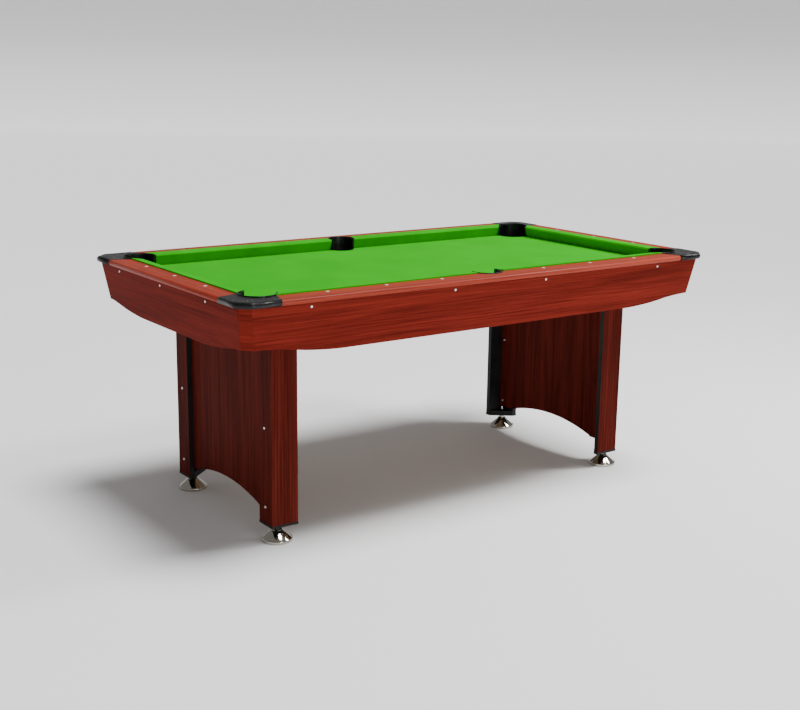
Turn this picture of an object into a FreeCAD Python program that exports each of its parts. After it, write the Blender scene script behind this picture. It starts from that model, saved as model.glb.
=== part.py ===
"""A six-foot pool table on two arched pedestals, as a parametric document.

The origin is on the floor under the middle of the table.  X runs along the
table, Y across it and Z up.  "Front" is the -Y side and "left" the -X end.
A rail, cushion or apron is drawn for the front side and turned to its own
side; a piece of a corner is drawn about the corner pocket's axis, where it
is symmetric about the diagonal, and turned to its own corner.
"""
import FreeCAD, Part
import math
import os
import Sketcher

Vector = FreeCAD.Vector

# Driving dimensions, in millimetres (leans are plain ratios).
SIZES = {
    # rails
    "half_length": 915, "half_width": 510, "table_height": 787,
    "rail_thickness": 18, "rail_width": 70, "rail_lip": 35,
    # bed
    "bed_height": 750, "cloth_thickness": 1, "bed_thickness": 15, "bed_corner_cut": 30,
    # cushions
    "cushion_depth": 34, "cushion_lift": 1, "cushion_undercut": 10, "cushion_rise": 4,
    "nose_slope": 3, "nose_drop": 8, "nose_setback": 3, "cushion_gap": 0.4,
    "side_end_x": 51.5, "side_nose_x": 48.5,
    # pockets
    "corner_inset": 117, "corner_radius": 53, "side_inset": 88, "side_radius": 44,
    "liner_wall": 3, "rim_width": 5, "hole_gap": 0.3,
    "cup_floor": 656, "corner_cup_radius": 41, "side_cup_radius": 38,
    "cup_wall": 2.5, "cup_flange": 14, "cup_flange_thickness": 3, "ring_recess": 1,
    # corner caps
    "cap_proud": 3, "cap_chamfer": 38, "cap_round": 9,
    "cap_arm": 11, "joint_lean": 0.3, "facing_lean": 0.85, "horn_setback": 1,
    # aprons and corner posts
    "apron_inset": 12, "apron_thickness": 15.2, "apron_lean": 0.16, "facet": 28,
    "corner_drop": 122, "middle_drop": 148, "ogee_run": 160,
    "ogee_inset_long": 115, "ogee_inset_end": 80,
    # structure under the bed
    "mount_board_thickness": 18, "mount_board_width": 104, "mount_board_x": 623,
    "beam_x": 300, "beam_thickness": 18, "beam_depth": 70, "beam_half_span": 464,
    # legs
    "leg_x": 716, "leg_y": 317, "leg_board": 18, "leg_side_width": 90,
    "leg_end_width": 78, "leg_bottom": 49, "shoe_floor": 4, "shoe_band": 8,
    "shoe_wall": 1, "shoe_boss": 20,
    # arched end panels
    "panel_thickness": 18, "panel_bottom": 84, "arch_half_width": 215,
    "arch_foot": 88, "arch_top": 121,
    # levelling feet
    "foot_x": 682, "foot_y": 286, "foot_radius": 47.5, "foot_rim": 8, "foot_height": 38,
    "foot_bevel": 1, "foot_step": 2.5, "foot_flare": 5, "foot_collar": 3, "foot_neck": 11,
    "stem_radius": 5, "stem_top": 82, "stem_bottom": 22,
    "socket_floor": 1, "running_gap": 0.05, "free_gap": 0.3, "collar_flats": 17,
    # fasteners and sights
    "sight_pitch": 203, "sight_inset": 52, "sight_radius": 5.5, "sight_depth": 2,
    "screw_drop": 30, "screw_shank": 2, "screw_head": 3.6, "screw_head_height": 3,
    "screw_sink": 1.5, "screw_length": 40, "screw_gap": 0.2, "head_round": 1,
    "bolt_y": 277, "bolt_low": 109, "bolt_high": 356, "bolt_shank": 3,
    "bolt_head": 4, "bolt_head_height": 2.2, "nut_flats": 10, "nut_height": 5,
    "bolt_tail": 7,
}

LONG_SIDE_SCREWS = (-685, -181, 181, 685)
END_SIDE_SCREWS = (-325, -23, 277)
OVERCUT = 5  # how far a cutting shape runs past what it cuts
CORNERS = {"back_right": 0, "back_left": 90, "front_left": 180, "front_right": 270}
LONG_SIDES = {"front": 0, "back": 180}
END_SIDES = {"right": 90, "left": 270}
LEGS = {"front_left": (-1, -1), "front_right": (1, -1), "back_left": (-1, 1), "back_right": (1, 1)}
LONG_SIDE_SIGHTS = (-3, -2, -1, 1, 2, 3)  # in sight pitches from the middle
END_SIDE_SIGHTS = (-1, 0, 1)

doc = FreeCAD.newDocument("PoolTable")
sheet = doc.addObject("Spreadsheet::Sheet", "Sizes")
nodes = []


class Size:
    """A length with the sheet expression that it comes from."""

    def __init__(self, text, value):
        self.text = text
        self.value = value

    def __add__(self, other):
        other = as_size(other)
        return Size("(%s + %s)" % (self.text, other.text), self.value + other.value)

    def __sub__(self, other):
        other = as_size(other)
        return Size("(%s - %s)" % (self.text, other.text), self.value - other.value)

    def __mul__(self, other):
        other = as_size(other)
        return Size("(%s * %s)" % (self.text, other.text), self.value * other.value)

    def __truediv__(self, other):
        other = as_size(other)
        return Size("(%s / %s)" % (self.text, other.text), self.value / other.value)

    def __neg__(self):
        return Size("(0 - %s)" % self.text, -self.value)


def as_size(value):
    """A plain number as a Size; a Size as it is."""
    if isinstance(value, Size):
        return value
    return Size("(%s)" % value, float(value))


def root(value):
    """The square root of a Size."""
    return Size("sqrt(%s)" % value.text, math.sqrt(value.value))


class Dimensions:
    """The sheet's cells, each read by its alias."""

    def __getattr__(self, alias):
        return Size("Sizes.%s" % alias, float(sheet.get(alias)))


def fill_sheet():
    """Write the driving dimensions to the sheet, one aliased cell each."""
    for row, (alias, value) in enumerate(SIZES.items(), start=1):
        sheet.set("A%d" % row, alias)
        sheet.set("B%d" % row, str(value))
        sheet.setAlias("B%d" % row, alias)
    doc.recompute()


fill_sheet()
dim = Dimensions()


# ---------------------------------------------------------------- sketches

class Arc:
    """An edge from one corner to the next: an arc of this radius, its centre on the left or right.

    A half circle is fixed by centre_x, because its radius says nothing about its place.
    """

    def __init__(self, radius, centre_left, long_way=False, centre_x=None):
        self.radius = as_size(radius)
        self.centre_left = centre_left
        self.long_way = long_way
        self.centre_x = centre_x

    def geometry(self, start, end):
        """The arc from start to end, and whether it runs anticlockwise."""
        chord = end - start
        half = chord.Length / 2
        rise = math.sqrt(max(self.radius.value ** 2 - half ** 2, 0.0))
        side = 1 if self.centre_left else -1
        if self.long_way:
            rise = -rise
        left = Vector(-chord.y, chord.x, 0).normalize()
        centre = start + chord / 2 + left * (side * rise)
        first, last = (start, end) if self.centre_left else (end, start)
        angles = [math.atan2(p.y - centre.y, p.x - centre.x) for p in (first, last)]
        if angles[1] <= angles[0]:
            angles[1] += 2 * math.pi
        circle = Part.Circle(centre, Vector(0, 0, 1), self.radius.value)
        return Part.ArcOfCircle(circle, angles[0], angles[1])


class Round:
    """A full circle in a sketch."""

    def __init__(self, x, y, radius):
        self.x = as_size(x)
        self.y = as_size(y)
        self.radius = as_size(radius)


def bind(sketch, constraint, size):
    """Add a dimension to a sketch and tie it to the sheet."""
    index = sketch.addConstraint(constraint)
    sketch.setExpression("Constraints[%d]" % index, size.text)


def bind_point(sketch, edge, end, x, y):
    """Tie a point of an edge to two sheet expressions."""
    bind(sketch, Sketcher.Constraint("DistanceX", -1, 1, edge, end, x.value), x)
    bind(sketch, Sketcher.Constraint("DistanceY", -1, 1, edge, end, y.value), y)


def bind_arc(sketch, edge, arc):
    """Tie an arc's radius to the sheet, or the place of a half circle's centre."""
    if arc.centre_x is None:
        bind(sketch, Sketcher.Constraint("Radius", edge, arc.radius.value), arc.radius)
    else:
        bind(sketch, Sketcher.Constraint("DistanceX", -1, 1, edge, 3, arc.centre_x.value), arc.centre_x)


def draw_round(sketch, loop):
    """Draw a circle with its centre and radius tied to the sheet."""
    centre = Vector(loop.x.value, loop.y.value, 0)
    circle = Part.Circle(centre, Vector(0, 0, 1), loop.radius.value)
    edge = sketch.addGeometry(circle, False)
    bind_point(sketch, edge, 3, loop.x, loop.y)
    bind(sketch, Sketcher.Constraint("Radius", edge, loop.radius.value), loop.radius)


def draw_loop(sketch, loop):
    """Draw a closed loop: corners (x, y), with an Arc after a corner that starts one."""
    corners = []
    arcs = {}
    for item in loop:
        if isinstance(item, Arc):
            arcs[len(corners) - 1] = item
        else:
            corners.append((as_size(item[0]), as_size(item[1])))
    points = [Vector(x.value, y.value, 0) for x, y in corners]
    ends = []
    for i, start in enumerate(points):
        end = points[(i + 1) % len(points)]
        if i in arcs:
            edge = sketch.addGeometry(arcs[i].geometry(start, end), False)
            ends.append((edge, 1, 2) if arcs[i].centre_left else (edge, 2, 1))
            bind_arc(sketch, edge, arcs[i])
        else:
            edge = sketch.addGeometry(Part.LineSegment(start, end), False)
            ends.append((edge, 1, 2))
    for i, (edge, start, _) in enumerate(ends):
        previous, _, last = ends[i - 1]
        sketch.addConstraint(Sketcher.Constraint("Coincident", previous, last, edge, start))
        bind_point(sketch, edge, start, *corners[i])


def draw(body, plane, loops, start=0):
    """Add a sketch on one of the body's own origin planes, lifted by start along its normal."""
    sketch = body.newObject("Sketcher::SketchObject", "Sketch")
    support = [o for o in body.Origin.OriginFeatures if o.Role == plane + "_Plane"][0]
    sketch.AttachmentSupport = [(support, "")]
    sketch.MapMode = "FlatFace"
    sketch.setExpression("AttachmentOffset.Base.z", as_size(start).text)
    for loop in loops:
        if isinstance(loop, Round):
            draw_round(sketch, loop)
        else:
            draw_loop(sketch, loop)
    return sketch


# ---------------------------------------------------------------- features

def new_body(label, angle=0, x=0, y=0):
    """A body in the list of nodes, turned about Z and moved to its place."""
    body = doc.addObject("PartDesign::Body", "Body")
    body.Label = label
    body.Placement.Rotation = FreeCAD.Rotation(Vector(0, 0, 1), angle)
    body.setExpression("Placement.Base.x", as_size(x).text)
    body.setExpression("Placement.Base.y", as_size(y).text)
    nodes.append(body)
    return body


def pad(body, plane, loops, start, depth):
    """Add material from start, for depth along the plane's normal."""
    feature = body.newObject("PartDesign::Pad", "Pad")
    feature.Profile = draw(body, plane, loops, start)
    feature.setExpression("Length", as_size(depth).text)
    doc.recompute()
    return feature


def cut(body, plane, loops, start, depth):
    """Remove material from start, for depth along the plane's normal."""
    before = body.Shape.Volume
    feature = body.newObject("PartDesign::Pocket", "Pocket")
    feature.Profile = draw(body, plane, loops, start)
    feature.Reversed = True
    feature.setExpression("Length", as_size(depth).text)
    doc.recompute()
    if body.Shape.Volume > before - 1:
        raise RuntimeError("A pocket in %s removes nothing" % body.Label)
    return feature


def turn(body, profile):
    """Revolve a profile of (radius, height) corners about the body's Z axis."""
    feature = body.newObject("PartDesign::Revolution", "Revolution")
    sketch = draw(body, "XZ", [profile])
    feature.Profile = sketch
    feature.ReferenceAxis = (sketch, ["V_Axis"])
    feature.Angle = 360
    doc.recompute()
    return feature


def fasteners(label, solids):
    """A group of identical separate solids that share one node."""
    feature = doc.addObject("Part::Feature", "Group")
    feature.Label = label
    feature.Shape = Part.makeCompound(solids)
    nodes.append(feature)


def rectangle(x0, y0, x1, y1):
    """The corners of a rectangle."""
    return [(x0, y0), (x1, y0), (x1, y1), (x0, y1)]


def hexagon(x, y, flats):
    """The corners of a hexagon with this size across its flats."""
    reach = as_size(flats).value / math.sqrt(3)
    corners = []
    for step in range(6):
        angle = math.radians(60 * step)
        corners.append((as_size(x) + reach * math.cos(angle), as_size(y) + reach * math.sin(angle)))
    return corners


# ---------------------------------------------------------------- shared places

def wood_line(outer):
    """How far from the middle the inner edge of a rail's wood lies."""
    return outer - dim.rail_width


def pocket_axis(outer):
    """How far from the middle the corner pockets' axes lie."""
    return outer - dim.corner_inset


def joint_at(across):
    """Along a rail from the pocket's axis, where its joint with the corner cap is."""
    edge = dim.corner_inset + dim.cap_proud
    return dim.cap_arm + dim.joint_lean * (edge - across)


def facing_at(across):
    """Along a cushion from the pocket's axis, where its end facing is."""
    wood = dim.corner_inset - dim.rail_width
    return joint_at(wood) + dim.facing_lean * (wood - across)


def lip_height():
    """The underside of the rails' overhanging lip, which is the aprons' top."""
    return dim.table_height - dim.rail_thickness


def bed_top():
    """The top face of the bed board, under its cloth."""
    return dim.bed_height - dim.cloth_thickness


def bed_bottom():
    """The underside of the bed board."""
    return bed_top() - dim.bed_thickness


def pocket_holes():
    """The six holes that the bed board and its cloth share."""
    x = pocket_axis(dim.half_length)
    y = pocket_axis(dim.half_width)
    side_y = dim.half_width - dim.side_inset
    corner_hole = dim.corner_radius + dim.liner_wall + dim.hole_gap
    side_hole = dim.side_radius + dim.liner_wall + dim.hole_gap
    holes = [Round(x * sx, y * sy, corner_hole) for sx in (-1, 1) for sy in (-1, 1)]
    for sy in (-1, 1):
        holes.append(Round(0, side_y * sy, side_hole))
    return holes


# ---------------------------------------------------------------- bed

def build_bed_board():
    """The playing bed: one board with its corners cut off and six pocket holes."""
    x = dim.half_length - dim.rail_lip
    y = dim.half_width - dim.rail_lip
    c = dim.bed_corner_cut
    outline = [(-x, c - y), (c - x, -y), (x - c, -y), (x, c - y),
               (x, y - c), (x - c, y), (c - x, y), (-x, y - c)]
    body = new_body("bed_board")
    pad(body, "XY", [outline], bed_bottom(), dim.bed_thickness)
    cut(body, "XY", pocket_holes(), bed_bottom() - OVERCUT, dim.bed_thickness + 2 * OVERCUT)


def build_bed_cloth():
    """The cloth on the bed, which stops at the rails' wood and at the pockets."""
    x = wood_line(dim.half_length) - dim.cushion_gap
    y = wood_line(dim.half_width) - dim.cushion_gap
    body = new_body("bed_cloth")
    pad(body, "XY", [rectangle(-x, -y, x, y)], bed_top(), dim.cloth_thickness)
    cut(body, "XY", pocket_holes(), bed_top() - OVERCUT, dim.cloth_thickness + 2 * OVERCUT)


# ---------------------------------------------------------------- rails

def rail_profile(outer):
    """A rail's section: a block on the bed and a lip that ends in a half round."""
    wood = wood_line(outer)
    block = outer - dim.rail_lip
    radius = dim.rail_thickness / 2
    return [(-wood, bed_top()), (-wood, dim.table_height),
            (radius - outer, dim.table_height), Arc(radius, True, centre_x=radius - outer),
            (radius - outer, lip_height()), (-block, lip_height()), (-block, bed_top())]


def rail_end_cut(outer, reach, sign):
    """What the slanting joint with a corner cap takes off one end of a rail."""
    inner = dim.rail_width + OVERCUT
    inside = dim.corner_inset - inner
    edge = dim.corner_inset + dim.cap_proud
    x_outer = reach - joint_at(edge)
    x_inner = reach - joint_at(inside)
    beyond = reach + OVERCUT
    y_outer = -(outer + dim.cap_proud)
    y_inner = inner - outer
    return [(x_outer * sign, y_outer), (x_inner * sign, y_inner),
            (beyond * sign, y_inner), (beyond * sign, y_outer)]


def build_rail(label, angle, outer, span, sights, screws, notch):
    """One top rail with its sight recesses, screw holes and side pocket notch."""
    reach = pocket_axis(span)
    body = new_body(label, angle)
    pad(body, "YZ", [rail_profile(outer)], -reach, reach * 2)
    ends = [rail_end_cut(outer, reach, sign) for sign in (-1, 1)]
    low = bed_top() - OVERCUT
    depth = dim.table_height - low + OVERCUT
    cut(body, "XY", ends, low, depth)
    if notch:
        hole = dim.side_radius + dim.rim_width + dim.screw_gap
        cut(body, "XY", [Round(0, dim.side_inset - outer, hole)], low, depth)
    rounds = [Round(dim.sight_pitch * step, dim.sight_inset - outer, dim.sight_radius) for step in sights]
    cut(body, "XY", rounds, dim.table_height - dim.sight_depth, dim.sight_depth + OVERCUT)
    holes = [Round(x, dim.table_height - dim.screw_drop, dim.screw_shank + dim.screw_gap) for x in screws]
    tip = screw_seat(outer) - dim.screw_length
    cut(body, "XZ", holes, tip, outer - dim.rail_lip - tip + OVERCUT)


def build_rails():
    """Two long rails, notched for the side pockets, and two end rails."""
    for side, angle in LONG_SIDES.items():
        build_rail("side_rail_" + side, angle, dim.half_width, dim.half_length,
                   LONG_SIDE_SIGHTS, LONG_SIDE_SCREWS, True)
    for side, angle in END_SIDES.items():
        build_rail("end_rail_" + side, angle, dim.half_length, dim.half_width,
                   END_SIDE_SIGHTS, END_SIDE_SCREWS, False)


# ---------------------------------------------------------------- cushions

def nose_cut(outer):
    """What lies outside a cushion's section: above its top and in front of its face."""
    wood = wood_line(outer)
    nose = wood - dim.cushion_depth
    clear = nose - OVERCUT
    top = dim.table_height + dim.cushion_rise
    above = top + OVERCUT
    return [(-wood, top), (-(nose + dim.nose_setback), top - dim.nose_slope),
            (-nose, top - dim.nose_drop), (-(nose + dim.cushion_undercut), dim.bed_height),
            (-clear, dim.bed_height), (-clear, above), (-wood, above)]


def build_cushion(label, angle, outer, left, right):
    """One rubber cushion; left and right give its ends as (x at the wood, x at the nose)."""
    wood = wood_line(outer)
    nose = wood - dim.cushion_depth
    bottom = dim.bed_height + dim.cushion_lift
    body = new_body(label, angle)
    plan = [(left[0], -wood), (right[0], -wood), (right[1], -nose), (left[1], -nose)]
    pad(body, "XY", [plan], bottom, dim.table_height + dim.cushion_rise - bottom)
    cut(body, "YZ", [nose_cut(outer)], -dim.half_length, dim.half_length * 2)


def build_cushions():
    """Four half-length side cushions and two end cushions."""
    at_wood = dim.corner_inset - dim.rail_width
    at_nose = at_wood - dim.cushion_depth
    offsets = (facing_at(at_wood) + dim.cushion_gap, facing_at(at_nose) + dim.cushion_gap)
    far = [pocket_axis(dim.half_length) - offset for offset in offsets]
    near = [dim.side_end_x, dim.side_nose_x]
    names = {"front": ("left", "right"), "back": ("right", "left")}
    for side, angle in LONG_SIDES.items():
        low, high = names[side]
        build_cushion("cushion_%s_%s" % (side, low), angle, dim.half_width,
                      [-x for x in far], [-x for x in near])
        build_cushion("cushion_%s_%s" % (side, high), angle, dim.half_width, near, far)
    reach = [pocket_axis(dim.half_width) - offset for offset in offsets]
    for side, angle in END_SIDES.items():
        build_cushion("cushion_" + side, angle, dim.half_length, [-x for x in reach], reach)


# ---------------------------------------------------------------- pockets

def cap_mouth():
    """The pocket side of a corner cap: one horn, the arc of the mouth, the other horn."""
    wood = dim.corner_inset - dim.rail_width
    tip = wood - dim.cushion_depth + dim.horn_setback
    inner = root(dim.corner_radius * dim.corner_radius - tip * tip)
    return [(wood, -joint_at(wood)), (tip, -facing_at(tip)), (tip, -inner),
            Arc(dim.corner_radius, True, True), (-inner, tip), (-facing_at(tip), tip),
            (-joint_at(wood), wood)]


def round_cap(body, plate):
    """Round the cap's outer edges, top and bottom."""
    edge = (dim.corner_inset + dim.cap_proud).value
    diagonal = 2 * edge - dim.cap_chamfer.value
    names = []
    for index, line in enumerate(plate.Shape.Edges, start=1):
        middle = line.CenterOfMass
        level = abs(line.Vertexes[0].Z - line.Vertexes[-1].Z) < 0.01
        outside = max(middle.x - edge, middle.y - edge, middle.x + middle.y - diagonal) > -0.01
        if level and outside:
            names.append("Edge%d" % index)
    fillet = body.newObject("PartDesign::Fillet", "Fillet")
    fillet.Base = (plate, names)
    fillet.setExpression("Radius", dim.cap_round.text)
    doc.recompute()


def build_corner_cap(corner, angle, x, y):
    """A moulded corner: a cap over the rail ends, a block on the bed and a ring in its hole."""
    edge = dim.corner_inset + dim.cap_proud
    base = dim.corner_inset - dim.rail_lip
    cut_back = base - dim.bed_corner_cut
    mouth = cap_mouth()
    outside = [(-joint_at(edge), edge), (edge - dim.cap_chamfer, edge),
               (edge, edge - dim.cap_chamfer), (edge, -joint_at(edge))]
    below = [(-joint_at(base), base), (cut_back, base), (base, cut_back), (base, -joint_at(base))]
    body = new_body("corner_cap_" + corner, angle, x, y)
    plate = pad(body, "XY", [outside + mouth], lip_height(), dim.rail_thickness + dim.cap_proud)
    round_cap(body, plate)
    pad(body, "XY", [below + mouth], dim.bed_height, lip_height() - dim.bed_height)
    ring = [Round(0, 0, dim.corner_radius), Round(0, 0, dim.corner_radius + dim.liner_wall)]
    low = bed_bottom() + dim.ring_recess
    pad(body, "XY", [ring[1], ring[0]], low, dim.bed_height - low)


def build_corner_cup(corner, angle, x, y):
    """A cup that hangs by its flange under a corner hole and catches the balls."""
    top = bed_bottom()
    wide = dim.corner_radius
    narrow = dim.corner_cup_radius
    wall = dim.cup_wall
    under = top - dim.cup_flange_thickness
    profile = [(wide, top), (wide + dim.cup_flange, top), (wide + dim.cup_flange, under),
               (wide + wall, under), (narrow + wall, dim.cup_floor - wall),
               (0, dim.cup_floor - wall), (0, dim.cup_floor), (narrow, dim.cup_floor)]
    turn(new_body("corner_cup_" + corner, angle, x, y), profile)


def build_side_pocket(side, angle):
    """A drop-in side pocket: a cup through the bed with a rim round the back of the mouth."""
    inner = dim.side_radius
    outer = inner + dim.liner_wall
    rim = inner + dim.rim_width
    narrow = dim.side_cup_radius
    wall = dim.cup_wall
    tip = dim.rail_width + dim.cushion_depth - dim.side_inset
    shift = dim.half_width - dim.side_inset
    sign = -1 if side == "front" else 1
    body = new_body("side_pocket_" + side, angle, 0, shift * sign)
    profile = [(inner, dim.bed_height), (inner, bed_bottom()), (narrow, dim.cup_floor),
               (0, dim.cup_floor), (0, dim.cup_floor - wall), (narrow + wall, dim.cup_floor - wall),
               (outer, bed_bottom()), (outer, dim.bed_height)]
    turn(body, profile)
    x_inner = root(inner * inner - tip * tip)
    x_rim = root(rim * rim - tip * tip)
    sector = [(x_inner, tip), Arc(inner, False, True), (-x_inner, tip), (-x_rim, tip),
              Arc(rim, True, True), (x_rim, tip)]
    height = dim.table_height + dim.cap_proud - dim.bed_height
    pad(body, "XY", [sector], dim.bed_height, height)


def build_pockets():
    """Four corner caps with their cups, and two side pockets."""
    x = pocket_axis(dim.half_length)
    y = pocket_axis(dim.half_width)
    for corner, angle in CORNERS.items():
        sx = 1 if corner.endswith("right") else -1
        sy = 1 if corner.startswith("back") else -1
        build_corner_cap(corner, angle, x * sx, y * sy)
        build_corner_cup(corner, angle, x * sx, y * sy)
    for side, angle in LONG_SIDES.items():
        build_side_pocket(side, angle)


# ---------------------------------------------------------------- aprons

def apron_outline(half_top, ogee_inset, span):
    """An apron from the front: leaning ends, and a lower edge that steps down in an S."""
    top = lip_height()
    low = top - dim.corner_drop
    middle = top - dim.middle_drop
    half_bottom = half_top - dim.apron_lean * dim.corner_drop
    half_run = dim.ogee_run / 2
    half_step = (dim.middle_drop - dim.corner_drop) / 2
    radius = (half_run * half_run + half_step * half_step) / (half_step * 2)
    start = span - ogee_inset
    bend = start - half_run
    end = start - dim.ogee_run
    return [(-half_top, top), (-half_bottom, low), (-start, low), Arc(radius, False),
            (-bend, low - half_step), Arc(radius, True), (-end, middle),
            (end, middle), Arc(radius, True), (bend, low - half_step), Arc(radius, False),
            (start, low), (half_bottom, low), (half_top, top)]


def lean_cuts(face):
    """What lies outside and inside an apron's leaning section."""
    top = lip_height()
    depth = dim.middle_drop + OVERCUT
    bottom = top - depth
    back = face - dim.apron_thickness
    shift = dim.apron_lean * depth
    clear = shift - back + OVERCUT
    outside = [(-face, top), (shift - face, bottom), (-face - OVERCUT, bottom), (-face - OVERCUT, top)]
    inside = [(-back, top), (clear, top), (clear, bottom), (shift - back, bottom)]
    return [outside, inside]


def build_apron(label, angle, outer, span, ogee_inset, screws):
    """One leaning apron, screwed through into the rail's block."""
    face = outer - dim.apron_inset
    half_top = span - dim.apron_inset - dim.facet
    height = dim.table_height - dim.screw_drop
    body = new_body(label, angle)
    holes = [Round(x, height, dim.screw_shank + dim.screw_gap) for x in screws]
    outline = apron_outline(half_top, ogee_inset, span)
    blank = dim.apron_thickness + dim.apron_lean * (dim.middle_drop + OVERCUT) + OVERCUT
    pad(body, "XZ", [outline] + holes, face - blank, blank)
    cut(body, "YZ", lean_cuts(face), -half_top - OVERCUT, (half_top + OVERCUT) * 2)
    sinks = [Round(x, height, dim.screw_head + dim.screw_gap) for x in screws]
    cut(body, "XZ", sinks, screw_seat(outer), dim.apron_inset)


def screw_seat(outer):
    """How far out the sunk seats of the apron screws' heads lie."""
    height_below = dim.screw_drop - dim.rail_thickness
    return outer - dim.apron_inset - dim.apron_lean * height_below - dim.screw_sink


def build_aprons():
    """Two long and two end aprons, and the four faceted posts between them."""
    for side, angle in LONG_SIDES.items():
        build_apron("apron_" + side, angle, dim.half_width, dim.half_length,
                    dim.ogee_inset_long, LONG_SIDE_SCREWS)
    for side, angle in END_SIDES.items():
        build_apron("apron_" + side, angle, dim.half_length, dim.half_width,
                    dim.ogee_inset_end, END_SIDE_SCREWS)
    for corner, angle in CORNERS.items():
        build_corner_post(corner, angle)


def post_section(face):
    """A corner post's section where the aprons' faces are at this distance."""
    near = face - dim.facet
    back = face - dim.apron_thickness
    return [(near, face), (near, back), (back, near), (face, near)]


def build_corner_post(corner, angle):
    """A faceted corner post that leans in with the aprons on both sides of it."""
    sx = 1 if corner.endswith("right") else -1
    sy = 1 if corner.startswith("back") else -1
    body = new_body("corner_post_" + corner, angle,
                    pocket_axis(dim.half_length) * sx, pocket_axis(dim.half_width) * sy)
    top_face = dim.corner_inset - dim.apron_inset
    low_face = top_face - dim.apron_lean * dim.corner_drop
    lower = draw(body, "XY", [post_section(low_face)], lip_height() - dim.corner_drop)
    upper = draw(body, "XY", [post_section(top_face)], lip_height())
    loft = body.newObject("PartDesign::AdditiveLoft", "Loft")
    loft.Profile = lower
    loft.Sections = [upper]
    loft.Ruled = True
    doc.recompute()


# ---------------------------------------------------------------- under the bed

def new_box(label, x, y, z, length, width, height):
    """A plain board, as a box with its corner and sides tied to the sheet."""
    box = doc.addObject("Part::Box", "Board")
    box.Label = label
    places = {"Placement.Base.x": x, "Placement.Base.y": y, "Placement.Base.z": z,
              "Length": length, "Width": width, "Height": height}
    for name, size in places.items():
        box.setExpression(name, as_size(size).text)
    nodes.append(box)


def build_underframe():
    """Two beams on edge, and the two flat boards that the legs are fixed to."""
    top = bed_bottom()
    for side, sign in (("left", -1), ("right", 1)):
        span = dim.beam_half_span
        middle = dim.beam_x * sign
        new_box("bed_beam_" + side, middle - dim.beam_thickness / 2, -span, top - dim.beam_depth,
                dim.beam_thickness, span * 2, dim.beam_depth)
        inner = dim.mount_board_x * sign
        start = inner if sign > 0 else inner - dim.mount_board_width
        new_box("leg_mount_board_" + side, start, -span, top - dim.mount_board_thickness,
                dim.mount_board_width, span * 2, dim.mount_board_thickness)


# ---------------------------------------------------------------- legs

def leg_top():
    """The top of the leg boards, under their mount boards."""
    return bed_bottom() - dim.mount_board_thickness


def board_bottom():
    """The bottom of the leg boards, on the floor of their shoes."""
    return dim.leg_bottom + dim.shoe_floor


def build_leg_boards(leg, sx, sy):
    """One leg: a side board and an end board, mitred together as an L."""
    x = dim.leg_x
    y = dim.leg_y
    board = dim.leg_board
    side_end = x - dim.leg_side_width
    end_end = y - dim.leg_end_width
    side = [(x, y), (side_end, y), (side_end, y - board), (x - board, y - board)]
    end = [(x, y), (x - board, y - board), (x - board, end_end), (x, end_end)]
    height = leg_top() - board_bottom()
    for name, plan in (("leg_side_board_", side), ("leg_end_board_", end)):
        body = new_body(name + leg)
        pad(body, "XY", [[(px * sx, py * sy) for px, py in plan]], board_bottom(), height)
    holes = [Round(dim.bolt_y * sy, z, dim.bolt_shank + dim.screw_gap) for z in (dim.bolt_low, dim.bolt_high)]
    start = x - board - OVERCUT if sx > 0 else -(x + OVERCUT)
    cut(nodes[-1], "YZ", holes, start, board + 2 * OVERCUT)


def build_shoe(leg, sx, sy):
    """A moulded shoe: a three-cornered plate that takes the L of boards and the levelling stem."""
    x = dim.leg_x
    y = dim.leg_y
    board = dim.leg_board
    wall = dim.shoe_wall
    x_in = x - dim.leg_side_width
    y_in = y - dim.leg_end_width
    outer = [(x + wall, y + wall), (x_in - wall, y + wall), (x_in - wall, y - board),
             (x - board, y_in - wall), (x + wall, y_in - wall)]
    slot = [(x, y), (x_in, y), (x_in, y - board), (x - board, y - board), (x - board, y_in), (x, y_in)]
    boss = [(x - board, y - board), (x_in, y - board), (x - board, y_in)]
    body = new_body("leg_shoe_" + leg)

    def placed(loop):
        return [(px * sx, py * sy) for px, py in loop]

    pad(body, "XY", [placed(outer)], dim.leg_bottom, dim.shoe_band)
    cut(body, "XY", [placed(slot)], board_bottom(), dim.shoe_band)
    band_top = dim.leg_bottom + dim.shoe_band
    pad(body, "XY", [placed(boss)], band_top, dim.shoe_boss - dim.shoe_band)
    hole = Round(dim.foot_x * sx, dim.foot_y * sy, dim.stem_radius + dim.free_gap)
    cut(body, "XY", [hole], dim.leg_bottom - OVERCUT, dim.shoe_boss + 2 * OVERCUT)


def build_panel(side, sx):
    """An arched panel between two legs, behind their end boards."""
    half = dim.leg_y - dim.leg_board
    arch = dim.arch_half_width
    rise = dim.arch_top - dim.arch_foot
    radius = (arch * arch + rise * rise) / (rise * 2)
    outline = [(-half, dim.panel_bottom), (-arch, dim.panel_bottom), (-arch, dim.arch_foot),
               Arc(radius, False), (arch, dim.arch_foot), (arch, dim.panel_bottom),
               (half, dim.panel_bottom), (half, leg_top()), (-half, leg_top())]
    outer = dim.leg_x - dim.leg_board
    start = outer - dim.panel_thickness if sx > 0 else -outer
    holes = [Round(dim.bolt_y * sy, z, dim.bolt_shank + dim.screw_gap)
             for sy in (-1, 1) for z in (dim.bolt_low, dim.bolt_high)]
    body = new_body("arch_panel_" + side)
    pad(body, "YZ", [outline] + holes, start, dim.panel_thickness)


def build_legs():
    """Two pedestals, each of two L-shaped legs, their shoes and an arched panel."""
    for leg, (sx, sy) in LEGS.items():
        build_leg_boards(leg, sx, sy)
        build_shoe(leg, sx, sy)
    build_panel("left", -1)
    build_panel("right", 1)


# ---------------------------------------------------------------- levelling feet

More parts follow.
